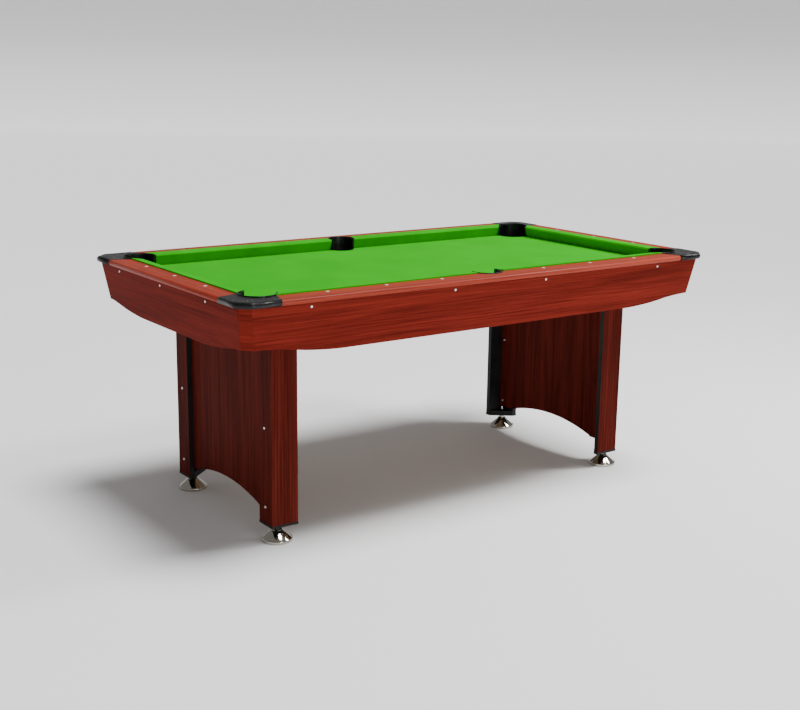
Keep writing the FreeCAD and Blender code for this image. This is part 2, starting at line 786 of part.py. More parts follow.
def build_foot(leg, sx, sy):
    """A bell-shaped foot with a socket for the stem."""
    radius = dim.foot_radius
    neck = dim.foot_neck
    socket = dim.stem_radius + dim.running_gap
    bevel = dim.foot_bevel
    floor = dim.stem_bottom - dim.socket_floor
    profile = [(0, 0), (radius - bevel, 0), (radius, bevel), (radius, dim.foot_rim),
               (radius - dim.foot_step, dim.foot_rim + dim.foot_step),
               (neck + dim.foot_flare, dim.foot_height - dim.foot_collar), (neck, dim.foot_height),
               (socket, dim.foot_height), (socket, floor), (0, floor)]
    turn(new_body("leveller_foot_" + leg, 0, dim.foot_x * sx, dim.foot_y * sy), profile)


def build_stem(leg, sx, sy):
    """A threaded stem with a hexagonal collar, which turns in the foot."""
    body = new_body("leveller_stem_" + leg, 0, dim.foot_x * sx, dim.foot_y * sy)
    pad(body, "XY", [Round(0, 0, dim.stem_radius)], dim.stem_bottom, dim.stem_top - dim.stem_bottom)
    low = dim.foot_height + dim.free_gap
    high = dim.leg_bottom - dim.free_gap
    pad(body, "XY", [hexagon(0, 0, dim.collar_flats)], low, high - low)


def build_levellers():
    """Four levelling feet with their stems."""
    for leg, (sx, sy) in LEGS.items():
        build_foot(leg, sx, sy)
        build_stem(leg, sx, sy)


# ---------------------------------------------------------------- fasteners

def side_frames():
    """Each side's turn, its outer face, its sights and its screws."""
    frames = []
    for angle in LONG_SIDES.values():
        frames.append((angle, dim.half_width, LONG_SIDE_SIGHTS, LONG_SIDE_SCREWS))
    for angle in END_SIDES.values():
        frames.append((angle, dim.half_length, END_SIDE_SIGHTS, END_SIDE_SCREWS))
    return frames


def turned(shape, angle):
    """A shape of the front side, turned about Z to another side."""
    shape.rotate(Vector(0, 0, 0), Vector(0, 0, 1), angle)
    return shape


def build_sights():
    """Eighteen round sights let into the tops of the rails."""
    solids = []
    base = (dim.table_height - dim.sight_depth).value
    for angle, outer, steps, _ in side_frames():
        for step in steps:
            place = Vector((dim.sight_pitch * step).value, (dim.sight_inset - outer).value, base)
            disc = Part.makeCylinder(dim.sight_radius.value, dim.sight_depth.value, place)
            solids.append(turned(disc, angle))
    fasteners("rail_sights", solids)


def build_apron_screws():
    """Screws through the aprons into the rails' blocks, with their heads sunk."""
    solids = []
    outward = Vector(0, -1, 0)
    height = (dim.table_height - dim.screw_drop).value
    for angle, outer, _, places in side_frames():
        seat = screw_seat(outer).value
        for x in places:
            start = Vector(x, dim.screw_length.value - seat, height)
            shank = Part.makeCylinder(dim.screw_shank.value, dim.screw_length.value, start, outward)
            head = Part.makeCylinder(dim.screw_head.value, dim.screw_head_height.value,
                                     Vector(x, -seat, height), outward)
            rim = min(head.Edges, key=lambda line: line.CenterOfMass.y)
            head = head.makeFillet(dim.head_round.value, [rim])
            solids.append(turned(shank.fuse(head).removeSplitter(), angle))
    fasteners("apron_screws", solids)


def bolt_places():
    """The eight bolts of the legs: which way each points, and where it is."""
    places = []
    for sx, sy in LEGS.values():
        for height in (dim.bolt_low, dim.bolt_high):
            places.append((sx, dim.bolt_y.value * sy, height.value))
    return places


def build_leg_bolts():
    """Bolts through the end boards and the arched panels."""
    solids = []
    face = dim.leg_x.value
    length = (dim.leg_board + dim.panel_thickness + dim.bolt_tail).value
    for sx, y, z in bolt_places():
        outward = Vector(sx, 0, 0)
        start = Vector(sx * (face - length), y, z)
        shank = Part.makeCylinder(dim.bolt_shank.value, length, start, outward)
        head = Part.makeCylinder(dim.bolt_head.value, dim.bolt_head_height.value,
                                 Vector(sx * face, y, z), outward)
        solids.append(shank.fuse(head).removeSplitter())
    fasteners("leg_bolts", solids)


def build_leg_nuts():
    """Nuts on the inner faces of the arched panels."""
    solids = []
    inner = (dim.leg_x - dim.leg_board - dim.panel_thickness).value
    height = dim.nut_height.value
    reach = dim.nut_flats.value / math.sqrt(3)
    for sx, y, z in bolt_places():
        corners = []
        for step in range(7):
            angle = math.radians(60 * step)
            corners.append(Vector(sx * inner, y + reach * math.cos(angle), z + reach * math.sin(angle)))
        nut = Part.Face(Part.makePolygon(corners)).extrude(Vector(-sx * height, 0, 0))
        start = Vector(sx * (inner + OVERCUT), y, z)
        hole_radius = (dim.bolt_shank + dim.running_gap).value
        hole = Part.makeCylinder(hole_radius, height + 2 * OVERCUT, start, Vector(-sx, 0, 0))
        solids.append(nut.cut(hole))
    fasteners("leg_nuts", solids)


# ---------------------------------------------------------------- checks and export

def check_document():
    """Stop if any object failed, or if any node's shape is empty or not valid."""
    for item in doc.Objects:
        if "Invalid" in item.State or "Error" in item.State:
            raise RuntimeError("%s failed: %s" % (item.Label, item.State))
    for node in nodes:
        if node.Shape.isNull() or not node.Shape.isValid():
            raise RuntimeError("%s has no valid shape" % node.Label)


def export_nodes():
    """Write each node's shape to its own file."""
    os.makedirs("parts", exist_ok=True)
    for node in nodes:
        node.Shape.exportStep("parts/%s.step" % node.Label)
        box = node.Shape.BoundBox
        print("%-32s %2d solids %10.0f mm3  x %7.1f %7.1f  y %7.1f %7.1f  z %6.1f %6.1f" % (
            node.Label, len(node.Shape.Solids), node.Shape.Volume,
            box.XMin, box.XMax, box.YMin, box.YMax, box.ZMin, box.ZMax))


def main():
    """Build every node of the table, check them and write them."""
    build_bed_board()
    build_bed_cloth()
    build_rails()
    build_cushions()
    build_pockets()
    build_aprons()
    build_underframe()
    build_legs()
    build_levellers()
    build_sights()
    build_apron_screws()
    build_leg_bolts()
    build_leg_nuts()
    doc.recompute()
    check_document()
    export_nodes()
    print(len(nodes), "nodes")


main()
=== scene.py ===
"""Looks of a six-foot pool table: cloth, cushions, laminate, moulded corners and plated feet.

The frame's own units are metres.  X runs along the table, Y across it and Z up;
"front" is the -Y side and "left" the -X end.  A side's piece is drawn for the
front side and turned to its own, and a corner's piece is drawn about the pocket's
axis with the table's corner at +X +Y, then turned to its own corner.
"""
from __future__ import annotations

import logging
import math
from dataclasses import dataclass
from enum import Enum

import bmesh
import bpy
from mathutils import Matrix, Vector


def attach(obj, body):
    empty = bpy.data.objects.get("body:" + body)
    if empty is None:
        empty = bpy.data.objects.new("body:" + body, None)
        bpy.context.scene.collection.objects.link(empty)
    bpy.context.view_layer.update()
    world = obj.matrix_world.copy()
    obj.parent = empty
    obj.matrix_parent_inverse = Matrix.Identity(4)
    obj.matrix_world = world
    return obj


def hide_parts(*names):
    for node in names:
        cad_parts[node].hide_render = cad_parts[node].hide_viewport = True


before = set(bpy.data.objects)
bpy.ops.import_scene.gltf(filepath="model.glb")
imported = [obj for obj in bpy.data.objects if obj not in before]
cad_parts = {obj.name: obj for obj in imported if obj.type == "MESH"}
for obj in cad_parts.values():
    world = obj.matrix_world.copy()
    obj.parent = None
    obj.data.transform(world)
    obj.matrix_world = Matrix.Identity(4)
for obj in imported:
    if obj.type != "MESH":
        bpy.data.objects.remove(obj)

LOG = logging.getLogger("pool_table")
BODY = "table"
MM = 0.001
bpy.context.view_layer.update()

# Sizes that several assemblies share, in millimetres.
CORNER_INSET = 117
CORNER_POCKET = (798, 393)
SIDE_POCKET_Y = 422
RAIL_WIDTH = 70
RAIL_TOP = 787.0
RAIL_UNDER = 769.0
BED_TOP = 750.0
APRON_INSET = 12
APRON_LEAN = 0.16
LEG_X = 716.0

Point = tuple[float, float]
Colour = tuple[float, float, float]
Face, Edge, Vert = bmesh.types.BMFace, bmesh.types.BMEdge, bmesh.types.BMVert
Socket, Material = bpy.types.NodeSocket, bpy.types.Material


def spun(degrees: float) -> Matrix:
    """Give a turn about Z."""
    return Matrix.Rotation(math.radians(degrees), 4, "Z")


class Grain(Enum):
    """The way a laminate's grain runs."""

    ALONG_X = 0
    ALONG_Y = 1
    UPRIGHT = 2

    def stretch(self, along: float, across: float) -> Colour:
        """Scale a pattern so that it is drawn out along the grain.

        Args:
            along: Repeats in a metre along the grain.
            across: Repeats in a metre across it.

        Returns:
            The scale on X, Y and Z.
        """
        scale = [across, across, across]
        scale[self.value] = along
        return tuple(scale)


class Plane(Enum):
    """The plane that a flat outline is drawn in; a prism rises along its normal."""

    FLOOR = (0, 1, 2)
    ELEVATION = (0, 2, 1)
    SECTION = (1, 2, 0)

    def at(self, a: float, b: float, c: float) -> Vector:
        """Give the point at (a, b) in the plane and c along its normal."""
        point = Vector((0.0, 0.0, 0.0))
        for axis, value in zip(self.value, (a, b, c)):
            point[axis] = value
        return point


class Side(Enum):
    """A side of the table: its turn from the front side, in degrees, and half its depth."""

    FRONT = ("front", 0, 510, 915)
    BACK = ("back", 180, 510, 915)
    RIGHT = ("right", 90, 915, 510)
    LEFT = ("left", 270, 915, 510)

    @property
    def label(self) -> str:
        """Name the side."""
        return self.value[0]

    @property
    def turn(self) -> Matrix:
        """Turn a piece of the front side to this one."""
        return spun(self.value[1])

    @property
    def outer(self) -> float:
        """Give the distance from the middle to the rail's outer edge, in mm."""
        return self.value[2]

    @property
    def reach(self) -> float:
        """Give the distance along the rail from its middle to a corner pocket's axis, in mm."""
        return self.value[3] - CORNER_INSET

    @property
    def is_long(self) -> bool:
        """Say whether this is one of the two long sides."""
        return self.value[2] < self.value[3]

    @property
    def grain(self) -> Grain:
        """Give the way the grain runs on this side."""
        return Grain.ALONG_X if self.is_long else Grain.ALONG_Y


class Corner(Enum):
    """A corner of the table: its turn from the back right one, and its signs on X and Y."""

    BACK_RIGHT = ("back_right", 0, 1, 1)
    BACK_LEFT = ("back_left", 90, -1, 1)
    FRONT_LEFT = ("front_left", 180, -1, -1)
    FRONT_RIGHT = ("front_right", 270, 1, -1)

    @property
    def label(self) -> str:
        """Name the corner."""
        return self.value[0]

    @property
    def signs(self) -> tuple[int, int]:
        """Give the corner's signs on X and Y."""
        return self.value[2], self.value[3]

    @property
    def turn(self) -> Matrix:
        """Turn and move a piece drawn about the pocket's axis to this corner."""
        return self.place(*CORNER_POCKET) @ spun(self.value[1])

    @property
    def mirror(self) -> Matrix:
        """Mirror a shape drawn in the back right quarter into this one."""
        return Matrix.Diagonal((*self.signs, 1, 1))

    def place(self, x: float, y: float) -> Matrix:
        """Move to a place this far out along X and Y, in mm, from a piece's own metres."""
        sx, sy = self.signs
        return Matrix.Translation((x * sx * MM, y * sy * MM, 0))


# Finishes.


class Shader:
    """One material's nodes, with short ways to add and join them."""

    def __init__(self, name: str, colour: Colour, roughness: float) -> None:
        """Start a material.

        Args:
            name: The material's name.
            colour: Its plain colour, linear.
            roughness: Its roughness.
        """
        self.material = bpy.data.materials.new(name)
        self.material.use_nodes = True
        self.tree = self.material.node_tree
        self.surface = self.tree.nodes["Principled BSDF"]
        self.fix(Base_Color=(*colour, 1), Roughness=roughness)
        self.material.diffuse_color = (*colour, 1)

    def add(self, kind: str, settings: dict[str, object] | None = None,
            **links: object) -> bpy.types.Node:
        """Add a node.

        Args:
            kind: The node's type.
            settings: Values for its properties.
            links: For each input, by name with _ for a space, a socket or a plain value.

        Returns:
            The new node.
        """
        node = self.tree.nodes.new(kind)
        for name, value in (settings or {}).items():
            setattr(node, name, value)
        for name, value in links.items():
            socket = node.inputs[name.replace("_", " ")]
            if isinstance(value, Socket):
                self.tree.links.new(value, socket)
            else:
                socket.default_value = value
        return node

    def place(self, scale: Colour, turn: float = 0.0) -> Socket:
        """Give the object's own coordinates, turned about Z by degrees and then scaled."""
        point = self.add("ShaderNodeTexCoord").outputs["Object"]
        if turn:
            point = self.add("ShaderNodeMapping", Vector=point,
                             Rotation=(0, 0, math.radians(turn))).outputs["Vector"]
        return self.add("ShaderNodeMapping", Vector=point, Scale=scale).outputs["Vector"]

    def noise(self, scale: Colour, detail: float, roughness: float = 0.5,
              distortion: float = 0.0, turn: float = 0.0) -> Socket:
        """Add a noise on the object's own coordinates.

        Args:
            scale: Repeats in a metre on each axis.
            detail: Octaves.
            roughness: Share of the finer octaves.
            distortion: How far the pattern is pushed about.
            turn: The pattern's turn about Z, in degrees.

        Returns:
            The noise's factor.
        """
        mapped = self.place(scale, turn)
        node = self.add("ShaderNodeTexNoise", Vector=mapped, Scale=1.0, Detail=detail,
                        Roughness=roughness, Distortion=distortion)
        return node.outputs["Fac"]

    def spread(self, value: Socket, low: float, high: float,
               to_low: float, to_high: float) -> Socket:
        """Stretch a factor from one span to another, and hold it there."""
        node = self.add("ShaderNodeMapRange", {"clamp": True}, Value=value, From_Min=low,
                        From_Max=high, To_Min=to_low, To_Max=to_high)
        return node.outputs["Result"]

    def mix(self, factor: Socket, first: object,
            second: object) -> Socket:
        """Mix two colours by a factor."""
        node = self.tree.nodes.new("ShaderNodeMix")
        node.data_type = "RGBA"
        self.tree.links.new(factor, node.inputs[0])
        for socket, value in ((node.inputs[6], first), (node.inputs[7], second)):
            if isinstance(value, Socket):
                self.tree.links.new(value, socket)
            else:
                socket.default_value = (*value, 1)
        return node.outputs[2]

    def fix(self, **values: object) -> None:
        """Set constants on the surface's inputs, by name with _ for a space."""
        for name, value in values.items():
            self.surface.inputs[name.replace("_", " ")].default_value = value

    def join(self, name: str, value: Socket) -> None:
        """Join a value to one of the surface's inputs."""
        self.tree.links.new(value, self.surface.inputs[name])

    def bump(self, height: Socket, depth: float, strength: float = 1.0) -> None:
        """Raise the surface by a height of this depth in metres."""
        node = self.add("ShaderNodeBump", Height=height, Distance=depth, Strength=strength)
        self.join("Normal", node.outputs["Normal"])


@dataclass(frozen=True)
class Laminate:
    """A printed mahogany laminate with drawn-out streaks, bands and dark pores."""

    name: str
    dark: Colour
    light: Colour
    grain: Grain
    roughness: float = 0.34
    figure: float = 0.25
    turn: float = 0.0
    shine: float = 0.008

    def build(self) -> Material:
        """Build the material."""
        shader = Shader(self.name, self.light, self.roughness)
        bands = shader.noise(self.grain.stretch(1.1, 26), 3, 0.55, 0.6, self.turn)
        streaks = shader.noise(self.grain.stretch(4.5, 260), 4, 0.6, 0.0, self.turn)
        pores = shader.noise(self.grain.stretch(34, 1500), 2, 0.5, 0.0, self.turn)
        wide = shader.spread(bands, 0.36, 0.66, 0.0, 1.0)
        narrow = shader.spread(streaks, 0.36, 0.64, 0.0, 1.0)
        share = shader.add("ShaderNodeMix", Factor=0.5)
        shader.tree.links.new(wide, share.inputs[2])
        shader.tree.links.new(narrow, share.inputs[3])
        colour = shader.mix(share.outputs[0], self.dark, self.light)
        flecks = shader.spread(pores, 0.6, 0.72, 0.0, 0.45)
        deep = tuple(0.35 * channel for channel in self.dark)
        colour = shader.mix(flecks, colour, deep)
        if self.figure:
            rings = self.rings(shader)
            colour = shader.mix(rings, colour, deep)
        shader.join("Base Color", colour)
        shader.join("Roughness", shader.spread(streaks, 0.3, 0.7, self.roughness - 0.05,
                                               self.roughness + 0.07))
        shader.bump(pores, 0.00004)
        shader.fix(Specular_IOR_Level=self.shine)
        return shader.material

    def rings(self, shader: Shader) -> Socket:
        """Give long arched ring lines, the figure of a flat-sawn board."""
        mapped = shader.place(self.grain.stretch(1.6, 21), self.turn)
        wave = shader.add("ShaderNodeTexWave", {"wave_type": "RINGS", "rings_direction": "SPHERICAL"},
                          Vector=mapped, Scale=1.4, Distortion=5.0, Detail=3.0,
                          Detail_Scale=1.2).outputs["Fac"]
        return shader.spread(wave, 0.55, 1.0, 0.0, self.figure)


@dataclass(frozen=True)
class PlayingCloth:
    """Napped billiard cloth: a fine twill under a short fuzz."""

    name: str
    shade: Colour
    lit: Colour

    def build(self) -> Material:
        """Build the material."""
        shader = Shader(self.name, self.lit, 0.92)
        nap = shader.noise((7, 5, 7), 3, 0.6)
        fuzz = shader.noise((900, 900, 900), 2, 0.7)
        colour = shader.mix(shader.spread(nap, 0.3, 0.7, 0.0, 1.0), self.shade, self.lit)
        darker = tuple(0.6 * channel for channel in self.shade)
        colour = shader.mix(shader.spread(fuzz, 0.5, 0.8, 0.0, 0.4), colour, darker)
        shader.join("Base Color", colour)
        shader.bump(self.twill(shader), 0.00012, 0.6)
        shader.fix(Sheen_Weight=0.03, Sheen_Roughness=0.5, Sheen_Tint=(0.6, 1.0, 0.5, 1),
                   Specular_IOR_Level=0.02)
        return shader.material

    def twill(self, shader: Shader) -> Socket:
        """Give the height of a diagonal twill of about 1 mm pitch."""
        mapped = shader.place((1, 1, 1))
        wave = shader.add("ShaderNodeTexWave", {"wave_type": "BANDS", "bands_direction": "DIAGONAL"},
                          Vector=mapped, Scale=320.0, Distortion=0.6, Detail=1.0)
        return wave.outputs["Fac"]


@dataclass(frozen=True)
class Moulding:
    """Moulded plastic with a fine spark-eroded grain and a few soft patches that are rougher and carry
    painted sheen, a paler colour.
    """

    name: str
    colour: Colour
    roughness: float
    grain_depth: float = 0.00003

    def build(self) -> Material:
        """Build the material."""
        shader = Shader(self.name, self.colour, self.roughness)
        grain = shader.noise((1600, 1600, 1600), 2, 0.6)
        patches = shader.noise((14, 14, 14), 3, 0.6)
        # Painted sheen: the patches mix the colour towards this paler one, and are also a little
        # rougher.
        painted_sheen = tuple(1.5 * channel + 0.001 for channel in self.colour)
        shader.join("Base Color", shader.mix(shader.spread(patches, 0.35, 0.7, 0.0, 1.0),
                                             self.colour, painted_sheen))
        shader.join("Roughness", shader.spread(patches, 0.3, 0.7, self.roughness - 0.05,
                                               self.roughness + 0.08))
        shader.bump(grain, self.grain_depth)
        shader.fix(Specular_IOR_Level=0.22)
        return shader.material


@dataclass(frozen=True)
class Plating:
    """Bright plated metal with faint polishing marks."""

    name: str
    colour: Colour
    roughness: float
    marks: Colour = (60, 60, 900)

    def build(self) -> Material:
        """Build the material."""
        shader = Shader(self.name, self.colour, self.roughness)
        shader.fix(Metallic=1.0)
        marks = shader.noise(self.marks, 3, 0.6)
        clouds = shader.noise((40, 40, 40), 2, 0.5)
        duller = tuple(0.82 * channel for channel in self.colour)
        shader.join("Base Color", shader.mix(shader.spread(clouds, 0.4, 0.75, 0.0, 0.6),
                                             self.colour, duller))
        shader.join("Roughness", shader.spread(marks, 0.3, 0.7, self.roughness * 0.7,
                                               self.roughness * 1.4))
        shader.bump(marks, 0.00001, 0.5)
        return shader.material


@dataclass(frozen=True)
class Fibreboard:
    """Raw pressed fibreboard, speckled with dark and pale fibres."""

    name: str
    colour: Colour

    def build(self) -> Material:
        """Build the material."""
        shader = Shader(self.name, self.colour, 0.85)
        fibres = shader.noise((420, 420, 420), 5, 0.75)
        clouds = shader.noise((9, 9, 9), 3, 0.6)
        dark = tuple(0.55 * channel for channel in self.colour)
        pale = tuple(1.25 * channel for channel in self.colour)
        colour = shader.mix(shader.spread(fibres, 0.35, 0.68, 0.0, 1.0), dark, pale)
        colour = shader.mix(shader.spread(clouds, 0.35, 0.7, 0.0, 0.35), colour, dark)
        shader.join("Base Color", colour)
        shader.bump(fibres, 0.0001, 0.7)
        return shader.material


@dataclass(frozen=True)
class Ivory:
    """Polished off-white plastic, faintly clouded."""

    name: str
    colour: Colour

    def build(self) -> Material:
        """Build the material."""
        shader = Shader(self.name, self.colour, 0.18)
        clouds = shader.noise((160, 160, 160), 3, 0.6)
        warm = tuple(channel * factor for channel, factor in zip(self.colour, (0.97, 0.9, 0.78)))
        shader.join("Base Color", shader.mix(shader.spread(clouds, 0.4, 0.7, 0.0, 0.8),
                                             self.colour, warm))
        shader.fix(Coat_Weight=0.4, Coat_Roughness=0.08)
        return shader.material


class Stock:
    """The finishes that the table is made from, each built once."""

    def __init__(self) -> None:
        """Build every finish."""
        self.rail = {way: Laminate("rail_laminate_%s" % way.name.lower(), (0.17, 0.014, 0.006),
                                   (0.36, 0.046, 0.02), way, 0.44, 0.0, 0.0,
                                   0.16).build()
                     for way in (Grain.ALONG_X, Grain.ALONG_Y)}
        dark, light = (0.08, 0.008, 0.0055), (0.22, 0.023, 0.015)
        self.apron = {way: Laminate("apron_laminate_%s" % way.name.lower(), dark, light, way,
                                    0.42, 0.12).build()
                      for way in (Grain.ALONG_X, Grain.ALONG_Y)}
        self.post = {sign: Laminate("post_laminate_%d" % (sign + 1), dark, light, Grain.ALONG_X,
                                    0.42, 0.12, 45.0 * sign).build() for sign in (-1, 1)}
        self.leg = Laminate("leg_laminate", (0.045, 0.0065, 0.0045), (0.135, 0.018, 0.012),
                            Grain.UPRIGHT, 0.42, 0.3).build()
        self.edging = Moulding("black_edging", (0.004, 0.0035, 0.0035), 0.5).build()
        self.bed = PlayingCloth("bed_cloth_green", (0.014, 0.33, 0.004), (0.018, 0.38, 0.005)).build()
        self.cushion = PlayingCloth("cushion_cloth_green", (0.012, 0.3, 0.004),
                                    (0.02, 0.4, 0.006)).build()
        self.black = Moulding("black_moulding", (0.004, 0.004, 0.0045), 0.3).build()
        self.shoe = Moulding("black_shoe_moulding", (0.004, 0.004, 0.004), 0.5).build()
        self.chrome = Plating("polished_plate", (0.52, 0.49, 0.43), 0.07).build()
        self.zinc = Plating("zinc_plate", (0.62, 0.62, 0.6), 0.25).build()
        self.bright = Plating("bright_screw_plate", (0.96, 0.95, 0.92), 0.4).build()
        self.board = Fibreboard("raw_fibreboard", (0.34, 0.23, 0.13)).build()
        self.sight = Ivory("sight_ivory", (0.95, 0.93, 0.87)).build()


# Shapes.


class Shape:
    """One piece's mesh while it is being made, in millimetres until it is placed."""

    def __init__(self) -> None:
        """Start with an empty mesh."""
        self.mesh = bmesh.new()

    def outline(self, corners: list[Point], plane: Plane, height: float = 0.0) -> Face:
        """Draw a flat face.

        Args:
            corners: Its corners in the plane.
            plane: The plane.
            height: How far along the normal it lies.

        Returns:
            The face.
        """
        verts = [self.mesh.verts.new(plane.at(a, b, height)) for a, b in corners]
        return self.mesh.faces.new(verts)

    def arc(self, start: Vector, centre: Vector, axis: Vector, degrees: float,
            steps: int) -> list[Vert]:
        """Draw a chain of points along an arc, in order from its start."""
        first = self.mesh.verts.new(start)
        count = len(self.mesh.verts)
        bmesh.ops.spin(self.mesh, geom=[first], cent=centre, axis=axis, angle=math.radians(degrees),
                       steps=steps)
        self.mesh.verts.ensure_lookup_table()
        return [first] + [self.mesh.verts[i] for i in range(count, len(self.mesh.verts))]

    def soften_points(self, face: Face, radii: dict[int, float],
                      segments: int = 6) -> Face:
        """Round some corners of a lone flat face.

        Args:
            face: The face.
            radii: The cut-back for each corner, by its number in the face.
            segments: Steps in each rounded corner.

        Returns:
            The rounded face.
        """
        verts = list(face.verts)
        for number, radius in radii.items():
            bmesh.ops.bevel(self.mesh, geom=[verts[number]], offset=radius, segments=segments,
                            profile=0.5, affect="VERTICES", clamp_overlap=True, material=-1)
        return max(self.mesh.faces, key=lambda item: item.calc_area())

    def raise_face(self, face: Face, way: Vector) -> None:
        """Raise a flat face into a closed solid along a vector."""
        raised = bmesh.ops.extrude_face_region(self.mesh, geom=[face])
        verts = [item for item in raised["geom"] if isinstance(item, Vert)]
        bmesh.ops.translate(self.mesh, vec=way, verts=verts)
        self.face_out()

    def face_out(self) -> None:
        """Turn every face outwards."""
        bmesh.ops.recalc_face_normals(self.mesh, faces=self.mesh.faces)

    def merge(self, within: float = 0.001) -> None:
        """Join points closer than this, and turn every face outwards."""
        bmesh.ops.remove_doubles(self.mesh, verts=self.mesh.verts, dist=within)
        self.face_out()

    def sweep(self, degrees: float, steps: int, rise: float = 0.0) -> None:
        """Turn the flat face made so far about Z into a solid; rise is per step."""
        section = list(self.mesh.faces) + list(self.mesh.edges) + list(self.mesh.verts)
        bmesh.ops.spin(self.mesh, geom=section, cent=(0, 0, 0), axis=(0, 0, 1), dvec=(0, 0, rise),
                       angle=math.radians(degrees), steps=steps)

    def prism(self, corners: list[Point], plane: Plane, low: float, high: float) -> None:
        """Raise an outline from low to high along its plane's normal."""
        self.raise_face(self.outline(corners, plane, low), plane.at(0, 0, high - low))

    def lathe(self, profile: list[Point], steps: int) -> None:
        """Turn a profile of (radius, height) points about Z into a closed solid."""
        verts = [self.mesh.verts.new((radius, 0, height)) for radius, height in profile]
        edges = [self.mesh.edges.new(pair) for pair in zip(verts, verts[1:])]
        bmesh.ops.spin(self.mesh, geom=verts + edges, cent=(0, 0, 0), axis=(0, 0, 1),
                       angle=2 * math.pi, steps=steps, use_merge=True)
        self.merge()

    def cut(self, point: Vector, normal: Vector) -> None:
        """Cut away what lies on the normal's side of a plane, and close the cut."""
        geometry = list(self.mesh.verts) + list(self.mesh.edges) + list(self.mesh.faces)
        bmesh.ops.bisect_plane(self.mesh, geom=geometry, plane_co=point, plane_no=normal,
                               clear_outer=True, dist=0.0001)
        rims = [edge for edge in self.mesh.edges if edge.is_boundary]
        bmesh.ops.contextual_create(self.mesh, geom=rims)

    def soften(self, width: float, segments: int = 2, sharper: float = 30.0, only=None) -> None:
        """Round the sharp edges.

        Args:
            width: How far each edge is cut back.
            segments: Steps in the round.
            sharper: The least angle of an edge that is rounded, in degrees.
            only: A test that an edge also has to pass.
        """
        limit = math.radians(sharper)
        edges = [edge for edge in self.mesh.edges if len(edge.link_faces) == 2
                 and edge.calc_face_angle() > limit and (only is None or only(edge))]
        bmesh.ops.bevel(self.mesh, geom=edges, offset=width, segments=segments, profile=0.5,
                        affect="EDGES", clamp_overlap=True, material=-1)

    def move(self, matrix: Matrix) -> None:
        """Move everything made so far."""
        bmesh.ops.transform(self.mesh, matrix=matrix, verts=self.mesh.verts)

    def take(self, other: Shape) -> None:
        """Take in a copy of another shape's mesh."""
        spare = bpy.data.meshes.new("spare")
        other.mesh.to_mesh(spare)
        self.mesh.from_mesh(spare)
        bpy.data.meshes.remove(spare)

    def piece(self, name: str, materials: list[Material], slot: str,
              nodes: list[str], place: Matrix | None = None, body: str = BODY,
              smooth: float | None = None) -> bpy.types.Object:
        """Finish the mesh as a piece of the table.

        Args:
            name: The piece's name.
            materials: Its materials, in the order of the faces' numbers.
            slot: The record's material slot for this piece; it is not used.
            nodes: The frame's nodes that it stands for.
            place: The turn and move to its place, in metres.
            body: The body it rides on.
            smooth: Shade all but edges sharper than this angle smooth, in degrees.  Without it,
                only narrow faces are smooth, so that wide ones stay flat.

        Returns:
            The new object.
        """
        bmesh.ops.dissolve_degenerate(self.mesh, dist=0.0005, edges=self.mesh.edges)
        self.move(Matrix.Scale(MM, 4))
        self.move(place or Matrix.Identity(4))
        for face in self.mesh.faces:
            longest = max(edge.calc_length() for edge in face.edges)
            face.smooth = smooth is not None or face.calc_area() / longest < 4.5 * MM
        data = bpy.data.meshes.new(name)
        self.mesh.to_mesh(data)
        self.mesh.free()
        if smooth is not None:
            data.set_sharp_from_angle(angle=math.radians(smooth))
        for material in materials:
            data.materials.append(material)
        item = bpy.data.objects.new(name, data)
        bpy.context.collection.objects.link(item)
        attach(item, body)
        if nodes:
            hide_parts(*nodes)
        LOG.info("%s: %d faces on %s", name, len(data.polygons), body)
        return item


def carve(item: bpy.types.Object, cutters: list[Shape]) -> None:
    """Take cutters out of a finished piece.

    Args:
        item: The piece.
        cutters: Closed shapes in millimetres, in the table's own frame.
    """
    for number, cutter in enumerate(cutters):
        cutter.move(Matrix.Scale(MM, 4))
        data = bpy.data.meshes.new("cutter")
        cutter.mesh.to_mesh(data)
        cutter.mesh.free()
        tool = bpy.data.objects.new("cutter", data)
        bpy.context.collection.objects.link(tool)
        change = item.modifiers.new("carve_%d" % number, "BOOLEAN")
        change.operation = "DIFFERENCE"
        change.solver = "EXACT"
        change.object = tool
        bpy.context.view_layer.update()
        seen = item.evaluated_get(bpy.context.evaluated_depsgraph_get())
        carved = bpy.data.meshes.new_from_object(seen)
        old = item.data
        item.modifiers.clear()
        item.data = carved
        carved.name = old.name
        bpy.data.objects.remove(tool)


def drum(radius: float, low: float, high: float, steps: int = 64, x: float = 0.0,
         y: float = 0.0) -> Shape:
    """Make an upright drum, or with six steps a hexagonal one."""
    shape = Shape()
    bmesh.ops.create_cone(shape.mesh, cap_ends=True, segments=steps, radius1=radius,
                          radius2=radius, depth=high - low)
    shape.move(Matrix.Translation((x, y, (low + high) / 2)))
    return shape


# Bed and cushions.


@dataclass
class Bed:
    """The cloth stretched over the bed, and the bare boards below it; sizes in mm."""

    stock: Stock
    wood_x: float = 844.6
    wood_y: float = 439.6
    top: float = 750.0
    thickness: float = 1.0
    corner_hole: float = 56.1
    side_hole: float = 47.1

    def holes(self) -> list[Shape]:
        """Give the cutters of the six pocket holes."""
        low, high = self.top - 5, self.top + 5
        x, y = CORNER_POCKET
        cutters = [drum(self.corner_hole, low, high, x=x * sx, y=y * sy)
                   for sx in (-1, 1) for sy in (-1, 1)]
        cutters += [drum(self.side_hole, low, high, y=SIDE_POCKET_Y * sy) for sy in (-1, 1)]
        return cutters

    def build(self) -> None:
        """Lay the cloth and dress the boards."""
        shape = Shape()
        x, y = self.wood_x, self.wood_y
        shape.prism([(-x, -y), (x, -y), (x, y), (-x, y)], Plane.FLOOR, self.top - self.thickness,
                    self.top)
        cloth = shape.piece("playing_cloth", [self.stock.bed], "cloth", ["bed_cloth"])
        carve(cloth, self.holes())
        for name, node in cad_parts.items():
            if name.startswith(("bed_board", "bed_beam", "leg_mount_board")):
                dress(node, self.stock.board)


